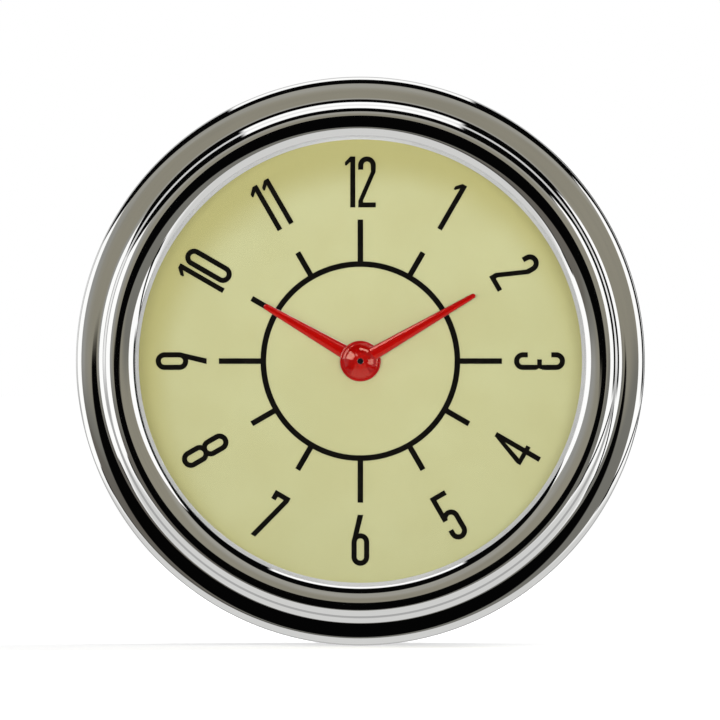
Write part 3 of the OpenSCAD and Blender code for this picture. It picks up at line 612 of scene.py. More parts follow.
CHROME = TurnedMetal(
    "polished_chrome", "chrome", (0.90, 0.90, 0.89), (0.87, 0.87, 0.86), 0.03, spread=0.012,
    metallic=1.0, bump=0.02, bump_depth=0.01 * MM, marks=1200.0, dust=0.0, grain_scale=400.0,
)
GLASS = ClearGlass(
    "clear_glass", "clear_glass", (0.99, 0.995, 0.99), (0.975, 0.985, 0.98), 0.0,
    bump=0.01, bump_depth=0.002 * MM, grain_scale=120.0,
)
BULB_GLASS = ClearGlass(
    "bulb_glass", "bulb_glass", (0.98, 0.98, 0.95), (0.93, 0.93, 0.88), 0.02,
    bump=0.05, bump_depth=0.01 * MM, grain_scale=500.0,
)
# The dial's finish paints shade on its edge, darker towards the top and the sides.
IVORY = DialPaintWithPaintedShade(
    "ivory_dial_paint", "ivory_dial", linear(205, 204, 153), linear(201, 199, 147), 0.55,
    grain_scale=5000.0, bump=0.1, bump_depth=0.01 * MM, mottle_scale=160.0, dust=0.0,
)
INK = Finish(
    "dark_dial_print", "dark_print", linear(9, 7, 6), linear(16, 13, 10), 0.5,
    mottle_scale=1500.0, bump=0.2, bump_depth=0.005 * MM, dust=0.0, specular=0.25,
)
LACQUER = Finish(
    "red_hand_lacquer", "red_lacquer", linear(175, 11, 8), linear(169, 10, 7), 0.06, spread=0.02,
    bump=0.03, bump_depth=0.01 * MM, grain_scale=900.0, dust=0.0, specular=0.2,
)
SATIN = TurnedMetal(
    "satin_trim", "satin_ring", (0.80, 0.80, 0.81), (0.74, 0.74, 0.75), 0.45, metallic=0.15,
    bump=0.08, bump_depth=0.01 * MM, dust=0.0,
)
RUBBER = Finish(
    "gasket_rubber", "gasket_rubber", (0.022, 0.022, 0.022), (0.035, 0.035, 0.034), 0.75,
    bump=0.3,
)
BLACK = Finish(
    "black_case_paint", "black_paint", (0.016, 0.016, 0.017), (0.026, 0.026, 0.027), 0.34,
    worn=(0.45, 0.45, 0.44), coat=0.15, grain_scale=1400.0, bump=0.22, bump_depth=0.03 * MM,
)
BRASS = Finish(
    "satin_brass", "yellow_brass", (0.70, 0.47, 0.16), (0.58, 0.37, 0.12), 0.3, metallic=1.0,
    worn=(0.86, 0.66, 0.34), bump=0.12,
)
STEEL = Finish(
    "bright_steel", "bright_steel", (0.60, 0.60, 0.60), (0.50, 0.50, 0.51), 0.24, metallic=1.0,
    worn=(0.78, 0.78, 0.78), bump=0.1,
)
DARK_STEEL = Finish(
    "blackened_steel", "bright_steel", (0.006, 0.005, 0.005), (0.010, 0.009, 0.009), 0.6,
    bump=0.1, specular=0.1, dust=0.0,
)
ZINC = Finish(
    "zinc_plate", "zinc_plate", (0.62, 0.60, 0.52), (0.50, 0.50, 0.47), 0.34, metallic=1.0,
    worn=(0.42, 0.42, 0.42), mottle_scale=240.0, bump=0.18,
)
IRON = Finish(
    "soft_iron", "soft_iron", (0.20, 0.19, 0.19), (0.28, 0.27, 0.26), 0.5, metallic=0.9,
    worn=(0.5, 0.5, 0.5), bump=0.3,
)
IVORY_PLASTIC = Finish(
    "ivory_plastic", "ivory_plastic", (0.69, 0.64, 0.45), (0.64, 0.58, 0.40), 0.45, bump=0.2,
)
COPPER_WIRE = WoundWire(
    "enamelled_copper", "enamelled_copper", (0.42, 0.12, 0.04), (0.34, 0.09, 0.03), 0.22,
    metallic=0.8, coat=0.5, bump=0.8, bump_depth=0.05 * MM,
)
LEAD_WIRE = Finish(
    "lead_wire", "enamelled_copper", (0.42, 0.12, 0.04), (0.34, 0.09, 0.03), 0.25,
    metallic=0.8, coat=0.5,
)
BOARD = CircuitBoard(
    "green_board", "green_board", (0.012, 0.12, 0.035), (0.01, 0.10, 0.03), 0.3, coat=0.3,
)
BLACK_PLASTIC = Finish(
    "black_plastic", "black_plastic", (0.018, 0.018, 0.018), (0.028, 0.027, 0.026), 0.42,
    worn=(0.09, 0.09, 0.088), worn_metal=0.0, bump=0.35,
)
BLUE = Finish("blue_sleeve", "blue_sleeve", (0.012, 0.03, 0.14), (0.01, 0.02, 0.11), 0.2)
TAN = Finish("tan_body", "tan_body", (0.45, 0.27, 0.10), (0.40, 0.23, 0.09), 0.3)
FIBRE = Finish(
    "brown_fibre", "brown_fibre", (0.14, 0.045, 0.02), (0.20, 0.07, 0.03), 0.6,
    mottle_scale=900.0, worn=(0.3, 0.14, 0.07), worn_metal=0.0, bump=0.5,
)
FINISH_OF = {
    f.slot: f
    for f in (
        CHROME, GLASS, BULB_GLASS, IVORY, INK, LACQUER, SATIN, RUBBER, BLACK, BRASS, STEEL, ZINC,
        IRON, IVORY_PLASTIC, COPPER_WIRE, BOARD, BLACK_PLASTIC, BLUE, TAN, FIBRE,
    )
}
NODE_SLOT = {p["node"]: p["material_slot"] for p in frame["record"]["subparts"]}
OWN_FINISH = {"centre_arbor": DARK_STEEL, "lead_wires": LEAD_WIRE}


# Tools for the meshes


class Work:
    """A mesh in the making, in millimetres: x to the right, y to the rear and z up."""

    SHARP_TURN = 35.0
    DOUBLES = 0.0005

    def __init__(self) -> None:
        """Starts with an empty mesh."""
        self.bm = bmesh.new()

    def soften(self, width: float, segments: int = 2) -> None:
        """Rounds every sharp edge.

        Args:
            width: The rounding's width in millimetres.
            segments: How many faces it has.
        """
        least = math.radians(self.SHARP_TURN)
        sharp = [e for e in self.bm.edges if e.is_manifold and e.calc_face_angle(0.0) > least]
        bmesh.ops.bevel(
            self.bm, geom=sharp, offset=width, offset_type="OFFSET", segments=segments,
            profile=0.5, affect="EDGES", clamp_overlap=True, material=-1,
        )

    def clean(self) -> None:
        """Merges doubles and turns the faces outwards."""
        bmesh.ops.remove_doubles(self.bm, verts=self.bm.verts, dist=self.DOUBLES)
        bmesh.ops.recalc_face_normals(self.bm, faces=self.bm.faces)

    def add(self, other: "Work") -> None:
        """Joins another mesh to this one and empties it.

        Args:
            other: The other mesh.
        """
        mesh = bpy.data.meshes.new("joined")
        other.bm.to_mesh(mesh)
        other.bm.free()
        self.bm.from_mesh(mesh)
        bpy.data.meshes.remove(mesh)

    def move(self, x: float, y: float, z: float) -> None:
        """Moves the whole mesh by so many millimetres."""
        bmesh.ops.translate(self.bm, verts=self.bm.verts, vec=(x, y, z))

    def piece(
        self, name: str, body: str, finish: Finish, *nodes: str, smooth: float = 32.0
    ) -> bpy.types.Object:
        """Makes the finished piece, which rides on a body and stands for CAD nodes.

        Args:
            name: The piece's name.
            body: The body that it rides on.
            finish: Its finish.
            nodes: The CAD nodes that it replaces.
            smooth: Edges that turn by more degrees than this stay sharp.

        Returns:
            The piece.
        """
        bmesh.ops.scale(self.bm, vec=(MM, MM, MM), verts=self.bm.verts)
        least = math.radians(smooth)
        for face in self.bm.faces:
            face.smooth = True
        for edge in self.bm.edges:
            edge.smooth = edge.is_manifold and edge.calc_face_angle(0.0) < least
        mesh = bpy.data.meshes.new(name)
        self.bm.to_mesh(mesh)
        self.bm.free()
        piece = bpy.data.objects.new(name, mesh)
        bpy.context.scene.collection.objects.link(piece)
        flats = piece.modifiers.new("flat_faces_first", "WEIGHTED_NORMAL")
        flats.mode = "FACE_AREA"
        flats.keep_sharp = True
        mesh.materials.append(finish.material())
        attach(piece, body)
        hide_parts(*nodes)
        LOG.info("%s: %d faces, %s, for %s", name, len(mesh.polygons), finish.name, nodes)
        return piece


class Section(Work):
    """Half the section of a turned part, drawn as radius and height towards the viewer."""

    def __init__(self, radius: float, height: float) -> None:
        """Starts the section at a point.

        Args:
            radius: The point's radius.
            height: Its height.
        """
        super().__init__()
        self.tip = self.bm.verts.new((radius, -height, 0.0))
        self.first = self.tip

    def to(self, *points: tuple[float, float]) -> "Section":
        """Draws straight lines to points.

        Args:
            points: The radius and height of each point.

        Returns:
            The section, for the next line.
        """
        for radius, height in points:
            new = bmesh.ops.extrude_vert_indiv(self.bm, verts=[self.tip])["verts"][0]
            new.co = (radius, -height, 0.0)
            self.tip = new
        return self

    def arc(self, radius: float, height: float, turn: float, steps: int) -> "Section":
        """Draws an arc round a centre.

        Args:
            radius: The centre's radius.
            height: The centre's height.
            turn: Degrees, counter-clockwise in the drawing.
            steps: How many lines it has.

        Returns:
            The section, for the next line.
        """
        swept = bmesh.ops.spin(
            self.bm, geom=[self.tip], cent=(radius, -height, 0.0), axis=(0, 0, 1),
            angle=-math.radians(turn), steps=steps, use_merge=False, use_duplicate=False,
        )
        self.tip = [v for v in swept["geom_last"] if isinstance(v, bmesh.types.BMVert)][0]
        return self

    def bend(self, radius: float, start: float, end: float, steps: int) -> "Section":
        """Draws an arc from one slope of the surface to another.

        Args:
            radius: The arc's radius, below zero for a hollow.
            start: The outward lean of the surface's normal at the last point, in degrees.
            end: Its lean at the arc's end.
            steps: How many lines it has.

        Returns:
            The section, for the next line.
        """
        lean = math.radians(start)
        r, h = self.tip.co.x, -self.tip.co.y
        centre = (r - radius * math.sin(lean), h - radius * math.cos(lean))
        return self.arc(*centre, start - end, steps)

    def points(self) -> list[tuple[float, float]]:
        """Reads the section's points and empties it.

        Returns:
            The radius and height of each point.
        """
        places = [(v.co.x, -v.co.y) for v in self.bm.verts]
        self.bm.free()
        return places

    def turned(self, steps: int = LATHE_STEPS, closed: bool = True) -> "Section":
        """Turns the section round its axis into a closed solid.

        Args:
            steps: How many faces it has round the axis.
            closed: True for a ring, whose last point joins the first.

        Returns:
            The solid.
        """
        if closed:
            self.bm.edges.new((self.tip, self.first))
        bmesh.ops.spin(
            self.bm, geom=self.bm.verts[:] + self.bm.edges[:], cent=(0, 0, 0),
            axis=(0, 1, 0), angle=math.tau, steps=steps, use_merge=True,
        )
        self.clean()
        return self


class CadCopy(Work):
    """A merged copy of a CAD node, to be softened and shaded smoothly.

    The sizes are in millimetres: those of the threads are the radius of their crest and of
    their foot, their pitch, and half the width of a groove.
    """

    DOUBLES = 0.001
    FLAT = math.radians(0.5)
    SHELL_TOP = 1.5
    CREST_R = 2.0
    FOOT_R = 1.75
    PITCH = 0.7
    GROOVE = 0.27
    NEAR = 0.1

    def __init__(self, node: str) -> None:
        """Copies a node's mesh, merges its loose triangles and joins its flat faces.

        Args:
            node: The CAD node.
        """
        super().__init__()
        self.bm.from_mesh(frame["nodes"][node].data)
        bmesh.ops.scale(self.bm, vec=(1 / MM,) * 3, verts=self.bm.verts)
        bmesh.ops.remove_doubles(self.bm, verts=self.bm.verts, dist=self.DOUBLES)
        bmesh.ops.dissolve_limit(
            self.bm, angle_limit=self.FLAT, verts=self.bm.verts, edges=self.bm.edges,
            use_dissolve_boundaries=False,
        )

    def swell(self, width: float) -> None:
        """Moves the whole surface outwards.

        Args:
            width: How far, in millimetres.
        """
        self.clean()
        self.bm.normal_update()
        verts = self.bm.verts[:]
        ways = [v.normal * min(v.calc_shell_factor(), self.SHELL_TOP) * width for v in verts]
        for vert, way in zip(verts, ways):
            bmesh.ops.translate(self.bm, verts=[vert], vec=way)

    def thread(self, axes: list[tuple[float, float]], start: float, end: float) -> None:
        """Cuts the grooves of a thread in rods along y.

        Args:
            axes: The x and z of each rod's axis in millimetres.
            start: Where the grooves begin along y.
            end: Where they end.
        """
        for turn in range(int((end - start) / self.PITCH)):
            middle = start + (turn + 0.5) * self.PITCH
            for off, deep in ((-self.GROOVE, False), (self.GROOVE, False), (0.0, True)):
                everything = self.bm.verts[:] + self.bm.edges[:] + self.bm.faces[:]
                cut = bmesh.ops.bisect_plane(
                    self.bm, geom=everything, dist=ON_PLANE,
                    plane_co=(0, middle + off, 0), plane_no=(0, 1, 0),
                )["geom_cut"]
                if deep:
                    self.sink([v for v in cut if isinstance(v, bmesh.types.BMVert)], axes)

    def sink(self, verts: list[bmesh.types.BMVert], axes: list[tuple[float, float]]) -> None:
        """Draws the points near each axis in to the foot of the thread.

        Args:
            verts: The points.
            axes: The x and z of each axis.
        """
        inwards = self.FOOT_R / self.CREST_R
        reach = self.CREST_R + self.NEAR
        for x, z in axes:
            near = [v for v in verts if math.hypot(v.co.x - x, v.co.z - z) < reach]
            bmesh.ops.scale(
                self.bm, verts=near, vec=(inwards, 1, inwards),
                space=Matrix.Translation((-x, 0, -z)),
            )


# The front


@dataclass
class Bezel:
    """The chrome bezel: rounded rim, sloping step, hollow, steep ridge and rolled edge.

    Radii and heights are in millimetres, and leans and turns in degrees. The rim's arc is
    given by its centre, and the hollow and the ridge each by a tighter and a wider arc, which
    follow one another where the surface leans by turn_over.
    """

    crimp_r: float = 26.9
    outer_r: float = 30.749
    edge_r: float = 0.5
    rim: tuple[float, float] = (28.95, 3.80)
    rim_end: float = 24.0
    step_r: float = 4.124
    step_turn: float = 16.0
    hollow_r: float = 0.65
    hollow_steep_r: float = 1.89
    turn_over: float = 45.0
    ridge_slope: float = 72.0
    ridge_top: tuple[float, float] = (26.40, 8.2)
    ridge_r: float = 0.974
    ridge_steep_r: float = 2.06
    roll_r: float = 2.2
    roll_turn: float = 68.5
    opening_r: float = 24.35
    glass_h: float = 4.4
    cavity_r: float = 29.3
    crimp_t: float = 0.8
    edge_steps: int = 6
    bend_steps: int = 8
    crest_steps: int = 10
    roll_steps: int = 24
    round_steps: int = 256
    smooth: float = 40.0

    def build(self) -> None:
        """Turns the bezel from its section."""
        step_end = self.rim_end - self.step_turn
        section = Section(self.crimp_r, 0.0)
        section.to((self.outer_r - self.edge_r, 0.0))
        section.arc(self.outer_r - self.edge_r, self.edge_r, 90.0, self.edge_steps)
        section.to((self.outer_r, self.rim[1]))
        section.arc(*self.rim, 90.0 - self.rim_end, self.roll_steps)
        section.bend(self.step_r, self.rim_end, step_end, self.bend_steps)
        section.bend(-self.hollow_r, step_end, self.turn_over, self.bend_steps)
        section.bend(-self.hollow_steep_r, self.turn_over, self.ridge_slope, self.bend_steps)
        top = Section(*self.ridge_top)
        top.bend(self.ridge_r, 0.0, self.turn_over, self.crest_steps)
        top.bend(self.ridge_steep_r, self.turn_over, self.ridge_slope, self.bend_steps)
        section.to(*reversed(top.points()))
        radius, height = self.ridge_top
        section.arc(radius, height - self.roll_r, self.roll_turn, self.roll_steps)
        section.to((self.opening_r, self.glass_h), (self.cavity_r, self.glass_h))
        section.to((self.cavity_r, self.crimp_t), (self.crimp_r, self.crimp_t))
        section.turned(self.round_steps)
        section.piece("chrome_bezel", "clock_case", CHROME, "bezel", smooth=self.smooth)


@dataclass
class DialSet:
    """The glass, the trim ring and the painted dial, with radii and heights in millimetres."""

    glass_r: float = 29.19
    glass_rear: float = 2.41
    glass_front: float = 4.39
    ring_r: float = 25.5
    sight_r: float = 24.0
    ring_top_r: float = 25.0
    ledge_r: float = 24.5
    ledge_rise: float = 0.16
    dial_front: float = -1.6
    dial_rear: float = -2.4
    hole_r: float = 1.6
    ring_edge: float = 0.3
    dial_gap: float = 0.005
    glass_gap: float = 0.02
    glass_round: float = 0.15
    glass_smooth: float = 5.0
    ring_round: float = 0.05
    dial_round: float = 0.08

    def glass(self) -> None:
        """Turns the flat glass."""
        glass = Section(0.0, self.glass_rear)
        glass.to((self.glass_r, self.glass_rear), (self.glass_r, self.glass_front))
        glass.to((0.0, self.glass_front)).turned(closed=False)
        glass.soften(self.glass_round)
        glass.piece("front_glass", "clock_case", GLASS, "lens", smooth=self.glass_smooth)

    def ring(self) -> None:
        """Turns the trim ring, which stands between the dial and the glass."""
        foot = self.dial_front + self.dial_gap
        head = self.glass_rear - self.glass_gap
        edge = self.dial_front + self.ring_edge
        ring = Section(self.sight_r, foot)
        ring.to((self.ring_r, foot), (self.ring_r, head), (self.ring_top_r, head))
        ring.to((self.ledge_r, edge + self.ledge_rise), (self.sight_r, edge)).turned()
        ring.soften(self.ring_round)
        ring.piece("dial_trim_ring", "clock_case", SATIN, "trim_ring")

    def dial(self) -> None:
        """Turns the dial with its middle hole."""
        dial = Section(self.hole_r, self.dial_rear)
        dial.to((self.ring_r, self.dial_rear), (self.ring_r, self.dial_front))
        dial.to((self.hole_r, self.dial_front)).turned()
        dial.soften(self.dial_round)
        dial.piece("painted_dial", "clock_case", IVORY, "dial")

    def build(self) -> None:
        """Makes the three pieces."""
        self.glass()
        self.ring()
        self.dial()


@dataclass
class DialPrint:
    """The printed circle, ticks and numbers, whose ink has spread a little."""

    ink_spread: float = 0.031

    def build(self) -> None:
        """Spreads the ink of both prints."""
        for node, name in (("dial_track", "printed_circle"), ("numerals", "printed_numbers")):
            ink = CadCopy(node)
            ink.swell(self.ink_spread)
            ink.piece(name, "clock_case", INK, node)


@dataclass
class Hand:
    """A tapered, crowned hand with a round hub, in millimetres and degrees.

    Each height is a pair, from the rear to the front. A domed hub has a short wall, a narrow
    rim, a cone and a crown, and the last two are given by their radius and turn.
    """

    name: str
    node: str
    body: str
    at: float
    length: float
    root_w: float
    tip_w: float
    hub_r: float
    hub_h: tuple[float, float]
    blade_h: tuple[float, float]
    hole_r: float
    hub_round: float
    domed: bool
    root_depth: float = 0.85
    rear_depth: float = 0.02
    tip_steps: tuple[int, int] = (32, 24)
    hub_steps: int = 96
    dome_steps: int = 10
    edge_steps: int = 3
    wall_h: float = 0.17
    rim_h: float = 0.21
    rim_w: float = 0.12
    cone: tuple[float, float] = (5.67, 12.0)
    crown: tuple[float, float] = (1.32, 30.0)
    cone_end: float = 50.0

    def blade(self) -> Work:
        """Makes the blade along x: a round tip, drawn out to the wider root and crowned.

        Returns:
            The blade.
        """
        work = Work()
        bm = work.bm
        across, along = self.tip_steps
        bmesh.ops.create_uvsphere(
            bm, u_segments=across, v_segments=along, radius=self.tip_w / 2
        )
        bmesh.ops.bisect_plane(
            bm, geom=bm.verts[:] + bm.edges[:] + bm.faces[:], dist=ON_PLANE,
            plane_co=(0, 0, 0), plane_no=(1, 0, 0), clear_inner=True,
        )
        rim = [e for e in bm.edges if e.is_boundary]
        work.move(self.length - self.tip_w / 2, 0, 0)
        grown = bmesh.ops.extrude_edge_only(bm, edges=rim)["geom"]
        root = [v for v in grown if isinstance(v, bmesh.types.BMVert)]
        rim = [e for e in grown if isinstance(e, bmesh.types.BMEdge) and e.is_boundary]
        bmesh.ops.translate(bm, verts=root, vec=(self.tip_w / 2 - self.length, 0, 0))
        wider = self.root_w / self.tip_w
        bmesh.ops.scale(bm, vec=(1, wider * self.root_depth, wider), verts=root)
        bmesh.ops.holes_fill(bm, edges=rim, sides=0)
        low, high = self.blade_h
        deeper = (high - low) / (self.root_w * self.root_depth / 2)
        bmesh.ops.scale(bm, vec=(1, deeper, 1), verts=bm.verts)
        rear = [v for v in bm.verts if v.co.y > 0]
        bmesh.ops.scale(bm, vec=(1, self.rear_depth, 1), verts=rear)
        work.move(0, -low, 0)
        return work

    def hub(self) -> Work:
        """Turns the hub, with its dome where it has one and the arbor's hole.

        Returns:
            The hub.
        """
        low, high = self.hub_h
        section = Section(self.hole_r, low)
        if self.domed:
            section.to((self.hub_r, low), (self.hub_r, low + self.wall_h))
            section.to((self.hub_r - self.rim_w, low + self.rim_h))
            lean = self.cone_end
            for radius, turn in (self.cone, self.crown):
                section.bend(radius, lean, lean - turn, self.dome_steps)
                lean -= turn
        else:
            section.to((self.hub_r, low), (self.hub_r, high), (self.hole_r, high))
        section.turned(self.hub_steps)
        section.soften(self.hub_round, self.edge_steps)
        return section

    def build(self) -> bpy.types.Object:
        """Joins hub and blade and turns them to the time.

        Returns:
            The hand's piece.
        """
        whole = self.hub()
        whole.add(self.blade())
        turn = Matrix.Rotation(math.radians(self.at - 90.0), 3, "Y")
        bmesh.ops.rotate(whole.bm, verts=whole.bm.verts, cent=(0, 0, 0), matrix=turn)
        return whole.piece(self.name, self.body, LACQUER, self.node)


# The rear


@dataclass
class RearSet:
    """The case and the fittings on its back, as softened copies of their CAD nodes.

    Places and sizes are in millimetres, and turns in degrees. Each thread runs from the first
    to the second of its places along y.
    """

    terminal_r: float = 17.0
    terminal_turns: tuple[float, ...] = (53.0, 90.0, 127.0)
    terminal_thread: tuple[float, float] = (39.4, 43.7)
    stud_x: float = 19.0
    stud_thread: tuple[float, float] = (36.2, 51.5)
    rounds: tuple[tuple[str, float], ...] = (
        ("case", 0.3),
        ("clamp_bracket", 0.3),
        ("clamp_washers", 0.15),
        ("left_thumb_nut", 0.12),
        ("right_thumb_nut", 0.12),
        ("setting_knob", 0.15),
        ("setting_bush", 0.15),
        ("terminal_studs", 0.25),
        ("terminal_insulators", 0.2),
        ("terminal_washers", 0.12),
        ("terminal_nuts", 0.2),
        ("case_screws", 0.12),
        ("clamp_studs", 0.35),
        ("bulb_socket", 0.25),
        ("bulb", 0.4),
    )

    def cut_threads(self, node: str, copy: CadCopy) -> None:
        """Cuts the threads of a node that has them.

        Args:
            node: The CAD node.
            copy: Its softened copy.
        """
        if node == "clamp_studs":
            copy.thread([(-self.stud_x, 0.0), (self.stud_x, 0.0)], *self.stud_thread)
        elif node == "terminal_studs":
            turns = [math.radians(turn) for turn in self.terminal_turns]
            axes = [(self.terminal_r * math.cos(t), self.terminal_r * math.sin(t)) for t in turns]
            copy.thread(axes, *self.terminal_thread)

    def build(self) -> None:
        """Softens each node and gives it its finish."""
        bodies = frame["record"]["behaviour"]["bodies"]
        body_of = {node: body for body, nodes in bodies.items() for node in nodes}
        for node, width in self.rounds:
            copy = CadCopy(node)
            copy.soften(width)
            self.cut_threads(node, copy)
            copy.piece(node + "_dressed", body_of[node], FINISH_OF[NODE_SLOT[node]], node)


class CarriedOver:
    """The CAD nodes that keep their own shape and get their finish."""

    def dress(self) -> None:
        """Puts a finish on every CAD node that still shows."""
        for node, piece in frame["nodes"].items():
            if piece.hide_render:
                continue
            finish = OWN_FINISH.get(node, FINISH_OF[NODE_SLOT[node]])
            for slot in piece.material_slots:
                slot.material = finish.material()
            LOG.info("%s: CAD node, %s", node, finish.name)


# The studio


@dataclass(frozen=True)
class Round:
    """A round outline in the studio, in degrees to the right of and above the camera."""

    right: float
    up: float
    radius: float
    tall: float = 1.0

    def mask(self, right: Signal, up: Signal, soft: float = 1.2) -> Signal:
        """Returns 1 inside the outline and 0 outside it.

        Args:
            right: Degrees to the right of the camera, seen from the clock.
            up: Degrees above the camera.
            soft: Half the width of the blurred edge in degrees.

        Returns:
            The mask.
        """
        reach = length_of(right - self.right, (up - self.up) / self.tall)
        return reach.rise(self.radius + soft, self.radius - soft)


@dataclass(frozen=True)
class Surroundings:
    """The studio that polished metal mirrors: a grey card, black flags and white panels.

    Places are in degrees to the right of and above the camera, reaches in degrees away from
    it, and turns in degrees clockwise from straight up. A Step goes from where its mask is 0
    to where it is 1. The flags are turned by flag_turn to the left.
    """

    LEAST = 1e-5

    card_head: Round = Round(0.0, -134.0, 206.0)
    card_foot: Round = Round(-8.0, 64.0, 134.0)
    card_left: Step = (-86.5, -83.5)
    card_right: Step = (78.5, 75.5)
    cool_side: Step = (-30.0, -75.0)
    top_step: Step = (34.0, 52.0)
    horizon: Step = (2.0, -14.0)
    horizon_side: Step = (25.0, 55.0)
    horizon_lift: float = 9.0
    corner_side: Step = (-22.0, -38.0)
    corner_step: Step = (-12.0, -22.0)
    edge_width: float = 7.0
    edge_soft: float = 4.0
    edge_side: Step = (5.0, -30.0)
    cloud_scale: float = 3.5
    cloud_step: Step = (0.35, 0.75)
    clouding: float = 0.22
    stand: Round = Round(-4.0, -24.5, 34.5, 1.04)
    stand_top: Step = (4.5, -0.5)
    lens_hood: Round = Round(0.0, 0.0, 15.0)
    arch: Round = Round(0.0, -11.5, 123.0)
    arch_soft: float = 2.0
    flag_foot: Step = (54.3, 57.3)
    lift_side: Step = (73.0, 79.0)
    flag_lift: float = 13.0
    droop_from: float = 77.0
    flag_droop: float = 0.4
    flag_side: Step = (24.3, 26.3)
    flag_turn: float = 1.95
    flag_reach: float = 137.5
    flag_end: Step = (0.8, -0.4)
    upper_reach: float = 1.3
    upper_step: Step = (0.0, 20.0)
    curl_reach: Step = (112.5, 116.5)
    curl_from: Step = (50.0, 56.0)
    curl_to: Step = (100.0, 94.0)
    fringe_reach: Step = (127.0, 131.0)
    fringe_turn: float = -84.0
    fringe_wide: Step = (22.0, 16.0)
    fringe_dark: float = 0.6
    rail_slope: float = 0.3
    rail_up: float = -65.2
    rail_wide: Step = (5.2, 2.8)
    rail_side: Step = (71.0, 74.0)
    knot_right: float = 80.0
    knot_up: float = -41.5
    knot_wide: Step = (8.0, 6.0)
    knot_high: Step = (7.0, 5.0)
    blot: Round = Round(-86.0, -41.0, 6.0)
    ground_step: Step = (-42.0, -66.0)
    seam_side: Step = (25.3, 23.3)
    wall_step: Step = (-25.0, 5.0)
    line_step: Step = (45.0, 70.0)
    brim_reach: Step = (149.0, 152.0)
    brim_from: Step = (38.0, 46.0)
    brim_to: Step = (116.0, 104.0)
    white: Colour = (1.12, 1.12, 1.12)
    ground: Colour = (0.69, 0.69, 0.685)
    black: Colour = (0.0015, 0.0015, 0.0015)
    card: Colour = linear(145, 141, 127)
    card_top: Colour = linear(161, 159, 151)
    card_cool: Colour = linear(153, 153, 150)
    card_low: Colour = linear(118, 117, 111)
    card_corner: Colour = linear(101, 97, 91)
    card_edge: Colour = linear(58, 56, 53)
    wall: Colour = (0.42, 0.42, 0.42)
    wall_head: Colour = (0.9, 0.9, 0.9)
    wall_line: Colour = (0.5, 0.5, 0.5)
    seam: Colour = (0.8, 0.8, 0.8)
    brim: Colour = (0.55, 0.55, 0.55)

    def paint(self, tree: bpy.types.NodeTree) -> Signal:
        """Draws the studio in the world's tree.

        Args:
            tree: The world's tree.

        Returns:
            The colour in each direction.
        """
        x, y, z = axes_of(place_in(tree, "Generated"))
        off = (y * -1.0).least(1.0).most(-1.0).maths("ARCCOSINE") * math.degrees(1.0)
        across = length_of(x, z).most(self.LEAST)
        right, up = x / across * off, z / across * off
        turn = x.maths("ARCTAN2", z) * math.degrees(1.0)
        colour = mixed(tree, up.rise(*self.ground_step), self.white, self.ground)
        colour = mixed(tree, self.flags(right, up, off, turn), colour, self.black)
        colour = self.grey_card(tree, right, up, colour)
        stand = self.stand.mask(right, up) * up.rise(*self.stand_top)
        colour = mixed(tree, stand.most(self.lens_hood.mask(right, up)), colour, self.black)
        far = self.away(off, up).rise(0.0, 1.0)
        colour = mixed(tree, far, colour, self.far_wall(tree, up, turn))
        brim = off.rise(*self.brim_reach)
        colour = mixed(tree, brim, colour, self.brim)
        dark = brim * turn.rise(*self.brim_from) * turn.rise(*self.brim_to)
        return mixed(tree, dark, colour, self.black)

    def far_wall(self, tree: bpy.types.NodeTree, up: Signal, turn: Signal) -> Signal:
        """Draws the wall past the flags, with its lighter head, its line and its seam.

        Args:
            tree: The world's tree.
            up: Degrees above the camera.
            turn: Degrees clockwise from straight up.

        Returns:
            The wall's colour.
        """
        wall = mixed(tree, up.rise(*self.wall_step), self.wall, self.wall_head)
        wall = mixed(tree, up.rise(*self.line_step), wall, self.wall_line)
        seam = (turn + self.flag_turn).size().rise(*self.seam_side)
        return mixed(tree, seam, wall, self.seam)

    def away(self, off: Signal, up: Signal) -> Signal:
        """Returns the degrees past the flags' far edge, which is farther in the upper half."""
        return off - up.rise(*self.upper_step) * self.upper_reach - self.flag_reach

    def flags(self, right: Signal, up: Signal, off: Signal, turn: Signal) -> Signal:
        """Returns the mask of the black flags, their curl and fringe, the rail and the blot.

        Args:
            right: Degrees to the right of the camera.
            up: Degrees above the camera.
            off: Degrees away from the camera.
            turn: Degrees clockwise from straight up.

        Returns:
            The mask.
        """
        droop = (right - self.droop_from).most(0.0) * self.flag_droop
        droop = droop - right.rise(*self.lift_side) * self.flag_lift
        over = (up + droop).rise(*self.flag_foot)
        sides = (turn + self.flag_turn).size().rise(*self.flag_side)
        within = self.away(off, up).rise(*self.flag_end)
        mask = over * sides * within
        mask = mask.most(self.arch.mask(right, up, self.arch_soft) * over)
        curl = off.rise(*self.curl_reach) * within * turn.rise(*self.curl_from)
        mask = mask.most(curl * turn.rise(*self.curl_to))
        fringe = off.rise(*self.fringe_reach) * within
        fringe = fringe * (turn - self.fringe_turn).size().rise(*self.fringe_wide)
        mask = mask.most(fringe * self.fringe_dark)
        rail = (up - right * self.rail_slope - self.rail_up).size().rise(*self.rail_wide)
        rail = rail * right.rise(*self.rail_side) * within
        knot = (up - self.knot_up).size().rise(*self.knot_high)
        knot = knot * (right - self.knot_right).size().rise(*self.knot_wide)
        return mask.most(rail.most(knot)).most(self.blot.mask(right, up))

